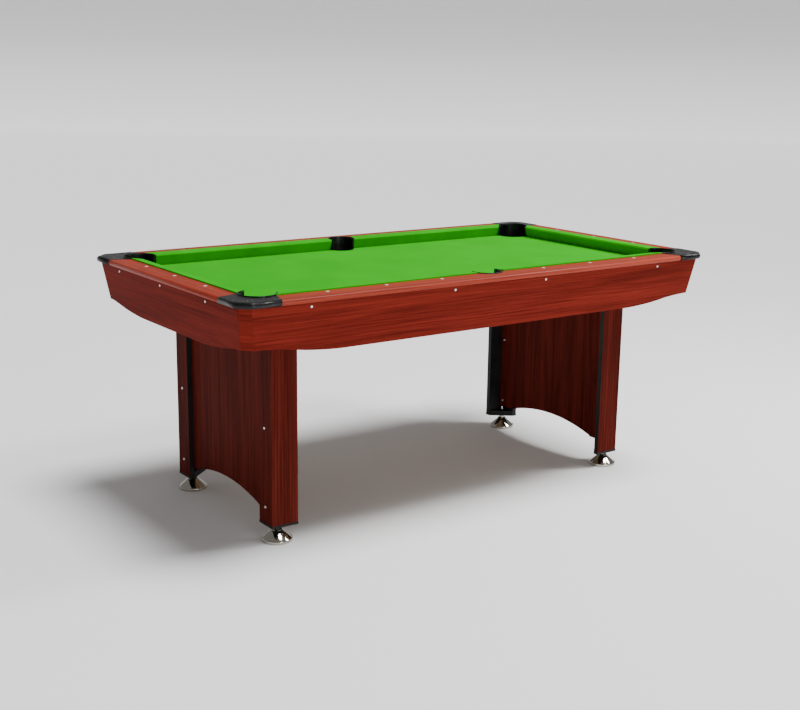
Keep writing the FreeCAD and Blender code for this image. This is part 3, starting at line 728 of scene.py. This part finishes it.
def dress(node: bpy.types.Object, material: Material) -> None:
    """Give one of the frame's own nodes a finish."""
    node.data.materials.clear()
    node.data.materials.append(material)
    for face in node.data.polygons:
        face.material_index = 0


@dataclass
class Cushion:
    """A rubber cushion under stretched cloth, its edges rounded; sizes in mm.

    The two ends are set back from a corner pocket's axis, or out from a side pocket's,
    first at the wooden rail and then at the nose.
    """

    stock: Stock
    wood_height: float = 791.0
    nose_height: float = 783.0
    depth: float = 34.0
    foot: float = 750.3
    undercut: float = 10.0
    corner_ends: Point = (33.3, 62.2)
    side_ends: Point = (51.5, 48.5)
    rounded_above: float = 760.0

    def section(self, outer: float) -> list[Point]:
        """Give the section across the rail of the front side, as (y, z)."""
        wood = outer - RAIL_WIDTH
        nose = wood - self.depth
        return [(-wood, self.foot), (-wood, self.wood_height - 0.8), (-wood + 0.8, self.wood_height),
                (-nose - 4, self.wood_height - 2.6), (-nose, self.nose_height),
                (-nose - self.undercut, self.foot)]

    def shape(self, outer: float, low: Point, high: Point) -> Shape:
        """Make one cushion of the front side.

        Args:
            outer: The rail's outer edge.
            low: The lower end's x at the wood and at the nose.
            high: The higher end's x at the wood and at the nose.

        Returns:
            The cushion's shape.
        """
        shape = Shape()
        shape.prism(self.section(outer), Plane.SECTION, min(low), max(high))
        wood = -(outer - RAIL_WIDTH)
        nose = wood + self.depth
        for (at_wood, at_nose), sign in ((low, -1), (high, 1)):
            along = Vector((at_nose - at_wood, nose - wood, 0))
            normal = Vector((along.y, -along.x, 0)) * sign
            shape.cut(Vector((at_wood, wood, 0)), normal)
        shape.face_out()
        shape.soften(1.6, 4, 20, self.is_upper)
        return shape

    def is_upper(self, edge: Edge) -> bool:
        """Say whether an edge is high enough to be rounded."""
        return sum(vert.co.z for vert in edge.verts) / 2 > self.rounded_above

    def build(self) -> None:
        """Make all six cushions."""
        for side in Side:
            reach = side.reach
            far = (reach - self.corner_ends[0], reach - self.corner_ends[1])
            back = (-far[0], -far[1])
            near = self.side_ends
            if side.is_long:
                first, second = ("left", "right") if side is Side.FRONT else ("right", "left")
                spans = [(side.label + "_" + first, back, (-near[0], -near[1])),
                         (side.label + "_" + second, near, far)]
            else:
                spans = [(side.label, back, far)]
            for label, low, high in spans:
                shape = self.shape(side.outer, low, high)
                piece = shape.piece("cushion_cloth_" + label, [self.stock.cushion], "cushion_cloth",
                                    ["cushion_" + label], side.turn)


# Rails and pockets.


@dataclass
class Rails:
    """The four laminated rails, with their half-round lips; sizes in mm.

    An end's slanting cut passes through two points: end_outside is the set-back from the
    pocket's axis and the distance past the rail, and end_inside the set-back at the wood line.
    """

    stock: Stock
    seat: float = 749.0
    lip: float = 35.0
    edge_round: float = 8.9
    end_outside: Point = (11, 3)
    end_inside: float = 32.9
    side_notch: float = 49.2

    def shape(self, side: Side) -> Shape:
        """Make the rail as on the front side, with its ends cut on the slant."""
        outer = side.outer
        wood = outer - RAIL_WIDTH
        block = outer - self.lip
        shape = Shape()
        corners = [(-wood, self.seat), (-wood, RAIL_TOP), (-outer, RAIL_TOP),
                   (-outer, RAIL_UNDER), (-block, RAIL_UNDER), (-block, self.seat)]
        face = shape.outline(corners, Plane.SECTION, -side.reach)
        face = shape.soften_points(face, {2: self.edge_round, 3: self.edge_round}, 8)
        shape.raise_face(face, Vector((2 * side.reach, 0, 0)))
        for sign in (-1, 1):
            back, past = self.end_outside
            outside = Vector(((side.reach - back) * sign, -(outer + past), 0))
            inside = Vector(((side.reach - self.end_inside) * sign, -wood, 0))
            along = inside - outside
            shape.cut(outside, Vector((along.y, -along.x, 0)) * sign)
        shape.face_out()
        shape.soften(0.5, 2, 50)
        return shape

    def build(self) -> None:
        """Make the four rails and notch the long ones for the side pockets."""
        for side in Side:
            node = ("side_rail_" if side.is_long else "end_rail_") + side.label
            piece = self.shape(side).piece("laminated_rail_" + side.label,
                                           [self.stock.rail[side.grain]], "rail_laminate", [node],
                                           side.turn)
            if side.is_long:
                sign = -1 if side is Side.FRONT else 1
                carve(piece, [drum(self.side_notch, self.seat - 5, RAIL_TOP + 5,
                                   y=SIDE_POCKET_Y * sign)])


@dataclass
class CornerCaps:
    """The moulded corner caps and their hanging cups; sizes in mm about the pocket's axis."""

    stock: Stock
    edge: float = 120.0
    chamfer: float = 38.0
    radius: float = 53.0
    top: float = 787.8
    lip_top: float = 790.9
    tip: float = 14.0
    horn: float = 60.95
    arm: float = 11.0
    flank: Point = (47, -32.9)
    mouth_steps: int = 48
    ring_foot: float = 735.0
    ring_wall: float = 2.8
    rim_round: float = 9.2
    block_edge: float = 82.0
    block_cut: float = 52.0
    block_arm: float = 22.4
    cup_ribs: int = 8

    def plan(self, shape: Shape, outside: list[Point], height: float) -> Face:
        """Draw a plan that ends in the pocket's mouth.

        Args:
            shape: The shape to draw in.
            outside: The outer corners, from the arm along Y to the arm along X.
            height: The plan's height.

        Returns:
            The face.
        """
        half = math.radians(self.half_mouth())
        centre = Vector((0, 0, height))
        start = self.radius * Vector((math.cos(half), -math.sin(half), 0)) + centre
        mouth = shape.arc(start, centre, Vector((0, 0, 1)), 90 + 2 * self.half_mouth(),
                          self.mouth_steps)
        before = outside + [self.flank, (self.tip, -self.horn)]
        after = [(-self.horn, self.tip), self.flank[::-1]]
        verts = [shape.mesh.verts.new((x, y, height)) for x, y in before] + mouth
        verts += [shape.mesh.verts.new((x, y, height)) for x, y in after]
        return shape.mesh.faces.new(verts)

    def half_mouth(self) -> float:
        """Give the angle below the X arm at which the mouth's arc starts, in degrees."""
        return math.degrees(math.acos(self.tip / self.radius))

    def cap(self) -> Shape:
        """Make the plate over the rail ends, with rounded outer edges."""
        shape = Shape()
        e, c = self.edge, self.edge - self.chamfer
        face = self.plan(shape, [(-self.arm, e), (c, e), (e, c), (e, -self.arm)], RAIL_UNDER)
        shape.raise_face(face, Vector((0, 0, self.top - RAIL_UNDER)))
        shape.soften(self.rim_round, 6, 30, self.is_outer_rim)
        shape.soften(1.2, 3, 50, self.is_mouth_rim)
        return shape

    def is_outer_rim(self, edge: Edge) -> bool:
        """Say whether an edge runs round the outside, top or bottom, or is an outer corner."""
        first, second = edge.verts
        middle = (first.co + second.co) / 2
        diagonal = middle.x + middle.y > 2 * self.edge - self.chamfer - 1
        if abs(first.co.z - second.co.z) > 5:
            return diagonal
        return max(middle.x, middle.y) > self.edge - 0.01 or diagonal

    def is_mouth_rim(self, edge: Edge) -> bool:
        """Say whether an edge is the top of the mouth or of a horn."""
        middle = (edge.verts[0].co + edge.verts[1].co) / 2
        return middle.z > self.top - 0.01 and Vector((middle.x, middle.y)).length < 64

    def lip(self) -> Shape:
        """Make the raised lip round the mouth, from horn to horn."""
        shape = Shape()
        inner, outer = self.radius + 0.4, self.radius + 4.4
        face = shape.outline([(inner, self.top - 3), (outer, self.top - 3), (outer - 0.6, self.lip_top),
                              (inner, self.lip_top)], Plane.ELEVATION)
        shape.soften_points(face, {2: 1.1, 3: 1.1}, 3)
        shape.move(spun(-self.half_mouth()))
        shape.sweep(90 + 2 * self.half_mouth(), self.mouth_steps)
        shape.face_out()
        return shape

    def block(self) -> Shape:
        """Make the block between the bed and the plate."""
        shape = Shape()
        e, c = self.block_edge, self.block_cut
        outside = [(-self.block_arm, e), (c, e), (e, c), (e, -self.block_arm)]
        face = self.plan(shape, outside, BED_TOP)
        shape.raise_face(face, Vector((0, 0, RAIL_UNDER - BED_TOP)))
        return shape

    def ring(self) -> Shape:
        """Make the ring that lines the hole in the bed."""
        shape = Shape()
        inner, outer = self.radius, self.radius + self.ring_wall
        shape.lathe([(inner, self.ring_foot), (outer, self.ring_foot), (outer, BED_TOP),
                     (inner, BED_TOP), (inner, self.ring_foot)], 64)
        return shape

    def cup(self) -> Shape:
        """Make the cup that hangs under the bed, with a rolled flange and a rounded floor."""
        shape = Shape()
        shape.lathe([(0, 653.5), (39, 653.5), (41.6, 654.6), (43.2, 657), (54.6, 728), (57, 731),
                     (66, 731), (67, 732), (67, 733.6), (66.6, 734), (53.6, 734), (53, 733),
                     (41.4, 659.5), (40, 657), (37.5, 656), (0, 656)], 56)
        for number in range(self.cup_ribs):
            rib = Shape()
            rib.prism([(55, 731), (65, 731), (51, 705)], Plane.ELEVATION, -1.2, 1.2)
            rib.move(spun((number + 0.5) * 360 / self.cup_ribs))
            shape.take(rib)
        return shape

    def build(self) -> None:
        """Make the four caps and cups."""
        for corner in Corner:
            shape = self.cap()
            for part in (self.lip(), self.block(), self.ring()):
                shape.take(part)
            shape.piece("moulded_corner_" + corner.label, [self.stock.black], "black_plastic",
                        ["corner_cap_" + corner.label], corner.turn)
            self.cup().piece("ball_cup_" + corner.label, [self.stock.black], "black_plastic",
                             ["corner_cup_" + corner.label], corner.turn, smooth=40)


@dataclass
class SidePockets:
    """The two drop-in side pockets; sizes in mm about the pocket's axis."""

    stock: Stock
    radius: float = 44.0
    rim: float = 5.0
    top: float = 790.0
    wrap: float = 20.1

    def wall(self) -> Shape:
        """Make the upright wall round the back of the mouth, with a rounded top."""
        shape = Shape()
        inner, outer = self.radius, self.radius + self.rim
        face = shape.outline([(inner, BED_TOP), (outer, BED_TOP), (outer, self.top),
                              (inner, self.top)], Plane.ELEVATION)
        shape.soften_points(face, {2: 2.2, 3: 2.2}, 4)
        shape.move(spun(self.wrap))
        shape.sweep(-180 - 2 * self.wrap, 56)
        shape.merge()
        return shape

    def cup(self) -> Shape:
        """Make the cup through the bed."""
        shape = Shape()
        shape.lathe([(0, 653.5), (36, 653.5), (38.6, 654.6), (40.4, 657), (46.2, 734), (46.3, 749),
                     (46.3, 750.4), (44.6, 750.6), (44, 749.6), (44, 734), (38.3, 659.5),
                     (37, 657), (34.5, 656), (0, 656)], 56)
        return shape

    def build(self) -> None:
        """Make both pockets."""
        for side in (Side.FRONT, Side.BACK):
            shape = self.wall()
            shape.take(self.cup())
            place = side.turn @ Matrix.Translation((0, -SIDE_POCKET_Y * MM, 0))
            shape.piece("side_pocket_liner_" + side.label, [self.stock.black], "black_plastic",
                        ["side_pocket_" + side.label], place, smooth=40)


# Aprons.


@dataclass
class Aprons:
    """The leaning aprons and their faceted corner posts; sizes in mm."""

    stock: Stock
    corner_low: float = 647.0
    middle_low: float = 621.0
    thickness: float = 15.2
    facet: float = 28.0
    run: float = 160.0
    long_start: float = 115.0
    end_start: float = 80.0

    def lean_in(self) -> Matrix:
        """Give the shear that leans an apron of the front side inwards below its top."""
        shear = Matrix.Identity(4)
        shear[1][2] = -APRON_LEAN
        shear[1][3] = APRON_LEAN * RAIL_UNDER
        return shear

    def apron(self, side: Side) -> Shape:
        """Make one apron of the front side, its lower edge dropping in an S at both ends."""
        face_y = -(side.outer - APRON_INSET)
        span = side.reach + CORNER_INSET
        half_top = span - APRON_INSET - self.facet
        half_low = half_top - APRON_LEAN * (RAIL_UNDER - self.corner_low)
        start = span - (self.long_start if side.is_long else self.end_start)
        end = start - self.run
        corners = [(-half_top, RAIL_UNDER), (-half_low, self.corner_low), (-start, self.corner_low),
                   (-end, self.middle_low), (end, self.middle_low), (start, self.corner_low),
                   (half_low, self.corner_low), (half_top, RAIL_UNDER)]
        shape = Shape()
        face = shape.outline(corners, Plane.ELEVATION, face_y)
        face = shape.soften_points(face, {2: 60, 3: 78, 4: 78, 5: 60}, 10)
        shape.raise_face(face, Vector((0, self.thickness, 0)))
        shape.soften(0.7, 2, 50)
        shape.move(self.lean_in())
        return shape

    def post(self) -> Shape:
        """Make one corner post about the pocket's axis, its outer edges softly rounded."""
        shape = Shape()
        low_face = CORNER_INSET - APRON_INSET - APRON_LEAN * (RAIL_UNDER - self.corner_low)
        near, back = low_face - self.facet, low_face - self.thickness
        face = shape.outline([(near, low_face), (near, back), (back, near), (low_face, near)],
                             Plane.FLOOR, self.corner_low)
        shape.raise_face(face, Vector((0, 0, RAIL_UNDER - self.corner_low)))
        shear = Matrix.Identity(4)
        for axis in (0, 1):
            shear[axis][2] = APRON_LEAN
            shear[axis][3] = -APRON_LEAN * self.corner_low
        shape.move(shear)
        shape.soften(0.6, 2, 20)
        return shape

    def build(self) -> None:
        """Make the four aprons and four posts."""
        for side in Side:
            self.apron(side).piece("laminated_apron_" + side.label,
                                   [self.stock.apron[side.grain]], "apron_laminate",
                                   ["apron_" + side.label], side.turn)
        for corner in Corner:
            sx, sy = corner.signs
            self.post().piece("facet_post_" + corner.label, [self.stock.post[sx * sy]],
                              "apron_laminate", ["corner_post_" + corner.label], corner.turn)


# Pedestals.


@dataclass
class Pedestals:
    """The L-shaped legs, their arched panels and their moulded shoes; sizes in mm."""

    stock: Stock
    y: float = 317.0
    board: float = 18.0
    side_width: float = 90.0
    end_width: float = 78.0
    low: float = 53.0
    high: float = 716.0
    panel_low: float = 84.0
    arch_foot: float = 88.0
    arch_half: float = 215.0
    arch_rise: float = 33.0
    gap: float = 0.4

    def face_outwards(self, shape: Shape, way: Vector) -> None:
        """Leave laminate on the faces that look one way, and edging on the rest."""
        shape.mesh.normal_update()
        for face in shape.mesh.faces:
            face.material_index = 0 if face.normal.dot(way) > 0.5 else 1

    def boards(self, corner: Corner) -> None:
        """Make the two mitred boards of one leg."""
        x, y, b = LEG_X, self.y, self.board
        plans = {"side": ([(x, y), (x - self.side_width, y), (x - self.side_width, y - b),
                           (x - b, y - b)], Vector((0, 1, 0))),
                 "end": ([(x, y), (x - b, y - b), (x - b, y - self.end_width),
                          (x, y - self.end_width)], Vector((1, 0, 0)))}
        for name, (plan, way) in plans.items():
            shape = Shape()
            shape.prism(plan, Plane.FLOOR, self.low, self.high)
            self.face_outwards(shape, way)
            shape.soften(0.6, 2, 30)
            shape.move(corner.mirror)
            shape.face_out()
            shape.piece("leg_%s_panel_%s" % (name, corner.label), [self.stock.leg, self.stock.edging],
                        "leg_laminate", ["leg_%s_board_%s" % (name, corner.label)])

    def shoe(self, corner: Corner) -> None:
        """Make one moulded shoe: a floor, a band round the boards and a boss inside them."""
        x, y, b = LEG_X, self.y, self.board
        x_in, y_in = x - self.side_width, y - self.end_width
        outer = [(x + 1, y + 1), (x_in - 1, y + 1), (x_in - 1, y - b), (x - b, y_in - 1),
                 (x + 1, y_in - 1)]
        x_boss, y_boss = x - b - self.gap, y - b - self.gap
        boss = [(x_boss, y_boss), (x_in, y_boss), (x_boss, y_in)]
        shape = Shape()
        shape.prism(outer, Plane.FLOOR, 49, 57)
        shape.soften(0.9, 3, 30)
        inner = Shape()
        inner.prism(boss, Plane.FLOOR, 56, 69)
        inner.soften(1.2, 2, 30)
        shape.take(inner)
        shape.move(corner.mirror)
        shape.face_out()
        shape.piece("moulded_shoe_" + corner.label, [self.stock.shoe], "shoe_plastic",
                    ["leg_shoe_" + corner.label])

    def panel(self, side: Side) -> None:
        """Make one arched panel, its lower edge curved between two short flats."""
        sign = 1 if side is Side.RIGHT else -1
        half, low = self.y - self.board, self.panel_low
        arch, foot, rise = self.arch_half, self.arch_foot, self.arch_rise
        radius = (arch ** 2 + rise ** 2) / (2 * rise)
        sweep = 2 * math.degrees(math.asin(arch / radius))
        inner = LEG_X - 2 * self.board
        shape = Shape()
        centre = Vector((inner, 0, foot + rise - radius))
        chain = shape.arc(Vector((inner, -arch, foot)), centre, Vector((-1, 0, 0)), sweep, 40)
        rest = [(arch, low), (half, low), (half, self.high), (-half, self.high), (-half, low),
                (-arch, low)]
        verts = chain + [shape.mesh.verts.new((inner, a, z)) for a, z in rest]
        face = shape.mesh.faces.new(verts)
        shape.raise_face(face, Vector((self.board, 0, 0)))
        shape.mesh.normal_update()
        for item in shape.mesh.faces:
            item.material_index = 0 if abs(item.normal.x) > 0.5 else 1
        shape.soften(0.7, 2, 40)
        shape.move(Matrix.Diagonal((sign, 1, 1, 1)))
        shape.face_out()
        shape.piece("arched_panel_" + side.label, [self.stock.leg, self.stock.edging],
                    "leg_laminate", ["arch_panel_" + side.label])

    def build(self) -> None:
        """Make both pedestals."""
        for corner in Corner:
            self.boards(corner)
            self.shoe(corner)
        self.panel(Side.LEFT)
        self.panel(Side.RIGHT)


@dataclass
class Levellers:
    """The plated levelling feet and their threaded stems; sizes in mm."""

    stock: Stock
    x: float = 682.0
    y: float = 286.0
    pitch: float = 1.5
    core: float = 4.15
    crest: float = 4.95
    collar_flats: float = 17.0

    def foot(self) -> Shape:
        """Make the bell-shaped foot with its rolled rim."""
        shape = Shape()
        shape.lathe([(0, 0), (45.6, 0), (46.9, 0.4), (47.4, 1.4), (47.5, 3), (47.5, 7), (47.3, 8.2),
                     (46.6, 9.1), (45.4, 9.3), (44.4, 9.1), (43.4, 10.2), (30.5, 21.4), (18, 32),
                     (16.6, 33.8), (15.8, 35.6), (14.6, 37.2), (13, 38), (5.8, 38), (5.2, 37.4),
                     (5.2, 21), (0, 21)], 72)
        return shape

    def stem(self) -> Shape:
        """Make the stem: a core with a helical thread, and a hexagonal collar."""
        shape = drum(self.core, 22, 82, 32)
        shape.soften(0.8, 2, 60)
        collar = drum(self.collar_flats / math.sqrt(3), 38.4, 48.6, 6)
        collar.soften(0.9, 3, 30)
        shape.take(collar)
        shape.take(self.thread(49.2, 80.5))
        return shape

    def thread(self, low: float, high: float) -> Shape:
        """Make the thread's ridge, wound up the stem from low to high."""
        per_turn = 20
        turns = int((high - low) / self.pitch)
        ridge = Shape()
        ridge.outline([(self.core - 0.2, low - 0.55), (self.crest, low - 0.08),
                       (self.crest, low + 0.08), (self.core - 0.2, low + 0.55)], Plane.ELEVATION)
        ridge.sweep(360 * turns, per_turn * turns, self.pitch / per_turn)
        ridge.merge(0.0005)
        return ridge

    def build(self) -> None:
        """Make the four levellers, each foot and stem on its own body."""
        for corner in Corner:
            place = corner.place(self.x, self.y)
            self.foot().piece("plated_foot_" + corner.label, [self.stock.chrome], "chrome",
                              ["leveller_foot_" + corner.label], place, "foot_" + corner.label, 35)
            self.stem().piece("threaded_stem_" + corner.label, [self.stock.zinc], "steel",
                              ["leveller_stem_" + corner.label], place, "stem_" + corner.label, 30)


# Fittings.


@dataclass
class Fittings:
    """The sights, the apron screws, and the legs' bolts and nuts; sizes in mm."""

    stock: Stock
    long_screws: tuple[float, ...] = (-685, -181, 181, 685)
    end_screws: tuple[float, ...] = (-325, -23, 277)
    screw_drop: float = 12.0
    sight_pitch: float = 203.0
    sight_inset: float = 52.0
    bolt_y: float = 277.0
    bolt_heights: tuple[float, ...] = (109, 356)
    nut_x: float = 677.5

    def head(self, radius: float, height: float) -> Shape:
        """Make a domed head that rises along Z, with a round drive socket."""
        shape = drum(radius, 0, height, 20)
        top = max(shape.mesh.faces, key=lambda face: face.calc_center_median().z)
        bmesh.ops.inset_region(shape.mesh, faces=[top], thickness=radius * 0.62)
        raised = bmesh.ops.extrude_face_region(shape.mesh, geom=[top])
        verts = [item for item in raised["geom"] if isinstance(item, Vert)]
        bmesh.ops.delete(shape.mesh, geom=[top], context="FACES_ONLY")
        bmesh.ops.translate(shape.mesh, vec=(0, 0, -height * 0.4), verts=verts)
        shape.soften(height * 0.3, 3, 40,
                     lambda edge: min(v.co.z for v in edge.verts) > height - 0.01)
        return shape

    def sights(self) -> None:
        """Make the eighteen sights, each a low dome in a fine ring."""
        shape = Shape()
        for side in Side:
            steps = (-3, -2, -1, 1, 2, 3) if side.is_long else (-1, 0, 1)
            for step in steps:
                dot = drum(5.5, 785, 787.35, 32)
                dot.soften(0.5, 3, 40)
                dot.move(side.turn @ Matrix.Translation((self.sight_pitch * step,
                                                       self.sight_inset - side.outer, 0)))
                shape.take(dot)
        shape.piece("sight_dots", [self.stock.sight], "sight", ["rail_sights"])

    def screws(self) -> None:
        """Make the fourteen apron screws."""
        shape = Shape()
        for side in Side:
            seat = side.outer - APRON_INSET - APRON_LEAN * self.screw_drop - 1.5
            for x in (self.long_screws if side.is_long else self.end_screws):
                screw = self.head(3.6, 3.0)
                screw.take(drum(2.0, -40, 0.2, 12))
                place = Matrix.Translation((x, -seat, RAIL_UNDER - self.screw_drop))
                screw.move(side.turn @ place @ Matrix.Rotation(math.pi / 2, 4, "X"))
                shape.take(screw)
        shape.piece("apron_screw_heads", [self.stock.bright], "screw", ["apron_screws"])

    def bolts(self) -> None:
        """Make the eight leg bolts and the nuts behind the arched panels."""
        bolts, nuts = Shape(), Shape()
        for corner in Corner:
            sx, sy = corner.signs
            for height in self.bolt_heights:
                outward = Matrix.Rotation(math.radians(90 * sx), 4, "Y")
                bolt = self.head(4.0, 2.2)
                bolt.take(drum(3.0, -43, 0.2, 16))
                bolt.move(Matrix.Translation((LEG_X * sx, self.bolt_y * sy, height)) @ outward)
                bolts.take(bolt)
                nut = drum(5.77, -2.5, 2.5, 6)
                nut.soften(0.5, 2, 30)
                nut.move(Matrix.Translation((self.nut_x * sx, self.bolt_y * sy, height)) @ outward)
                nuts.take(nut)
        bolts.piece("leg_bolt_heads", [self.stock.bright], "screw", ["leg_bolts"])
        nuts.piece("leg_nut_set", [self.stock.zinc], "steel", ["leg_nuts"])

    def build(self) -> None:
        """Make all the fittings."""
        self.sights()
        self.screws()
        self.bolts()


# Studio.


@dataclass
class Studio:
    """The pale floor, the soft lights and the camera; sizes in metres."""

    camera_place: Colour = (-2.45166, -3.39781, 1.41961)
    camera_turn: Colour = (76.7627, -0.7628, -35.3179)
    lens: float = 56.036

    def floor(self) -> None:
        """Lay the floor, which sweeps up into a plain low backdrop on all sides."""
        data = bpy.data.meshes.new("floor")
        sheet = bmesh.new()
        bmesh.ops.create_grid(sheet, x_segments=1, y_segments=1, size=24)
        folds = list(sheet.edges)
        grown = bmesh.ops.extrude_edge_only(sheet, edges=folds)["geom"]
        raised = [item for item in grown if isinstance(item, Vert)]
        bmesh.ops.translate(sheet, vec=(0, 0, 3.2), verts=raised)
        folds += [edge for edge in sheet.edges if len(edge.link_faces) == 2 and edge not in folds]
        bmesh.ops.bevel(sheet, geom=folds, offset=2.6, segments=16, profile=0.5, affect="EDGES")
        bmesh.ops.recalc_face_normals(sheet, faces=sheet.faces)
        bmesh.ops.translate(sheet, vec=(0, 0, -0.0006), verts=sheet.verts)
        bmesh.ops.transform(sheet, matrix=self.heading(), verts=sheet.verts)
        for face in sheet.faces:
            face.smooth = True
        sheet.to_mesh(data)
        sheet.free()
        floor = bpy.data.objects.new("floor", data)
        bpy.context.collection.objects.link(floor)
        shader = Shader("floor_paper", (0.9, 0.9, 0.9), 0.9)
        shader.fix(Specular_IOR_Level=0.0)
        data.materials.append(shader.material)

    def heading(self) -> Matrix:
        """Give the turn about Z that faces the backdrop to the camera."""
        return spun(self.camera_turn[2])

    def light(self, name: str, place: Colour, target: Colour, size: float, power: float,
              colour: Colour = (1, 1, 1)) -> None:
        """Hang one soft square light that looks at a point."""
        data = bpy.data.lights.new(name, "AREA")
        data.shape = "SQUARE"
        data.size = size
        data.energy = power
        data.color = colour
        lamp = bpy.data.objects.new(name, data)
        bpy.context.collection.objects.link(lamp)
        lamp.location = place
        way = Vector(target) - Vector(place)
        lamp.rotation_euler = way.to_track_quat("-Z", "Y").to_euler()

    def sun(self, name: str, way: Colour, strength: float, spread: float) -> None:
        """Add a wide soft light that shines everywhere along one way; spread in degrees."""
        data = bpy.data.lights.new(name, "SUN")
        data.energy = strength
        data.angle = math.radians(spread)
        lamp = bpy.data.objects.new(name, data)
        bpy.context.collection.objects.link(lamp)
        lamp.rotation_euler = Vector(way).to_track_quat("-Z", "Y").to_euler()

    def build(self) -> None:
        """Set up the floor, the lights, the world and the camera."""
        self.floor()
        self.sun("key", (-0.2, 0.16, -0.95), 3.9, 24)
        self.light("edge", (2.6, -1.2, 3.1), (0, 0, 0.7), 0.8, 95)
        self.light("low", (-0.6, -4.6, 0.5), (0, 0, 0.45), 1.6, 85)
        world = bpy.data.worlds.new("studio")
        bpy.context.scene.world = world
        world.use_nodes = True
        world.node_tree.nodes["Background"].inputs["Color"].default_value = (1, 1, 1, 1)
        world.node_tree.nodes["Background"].inputs["Strength"].default_value = 0.25
        data = bpy.data.cameras.new("camera")
        data.sensor_width = 36.0
        data.lens = self.lens
        camera = bpy.data.objects.new("camera", data)
        bpy.context.collection.objects.link(camera)
        camera.location = self.camera_place
        camera.rotation_euler = [math.radians(angle) for angle in self.camera_turn]
        bpy.context.scene.camera = camera


def main() -> None:
    """Build the table's looks, sub-assembly by sub-assembly."""
    logging.basicConfig(level=logging.INFO, format="%(name)s %(message)s")
    stock = Stock()
    for assembly in (Bed, Cushion, Rails, CornerCaps, SidePockets, Aprons, Pedestals, Levellers,
                     Fittings):
        LOG.info("building %s", assembly.__name__)
        assembly(stock).build()
    Studio().build()


if __name__ == "__main__":
    main()
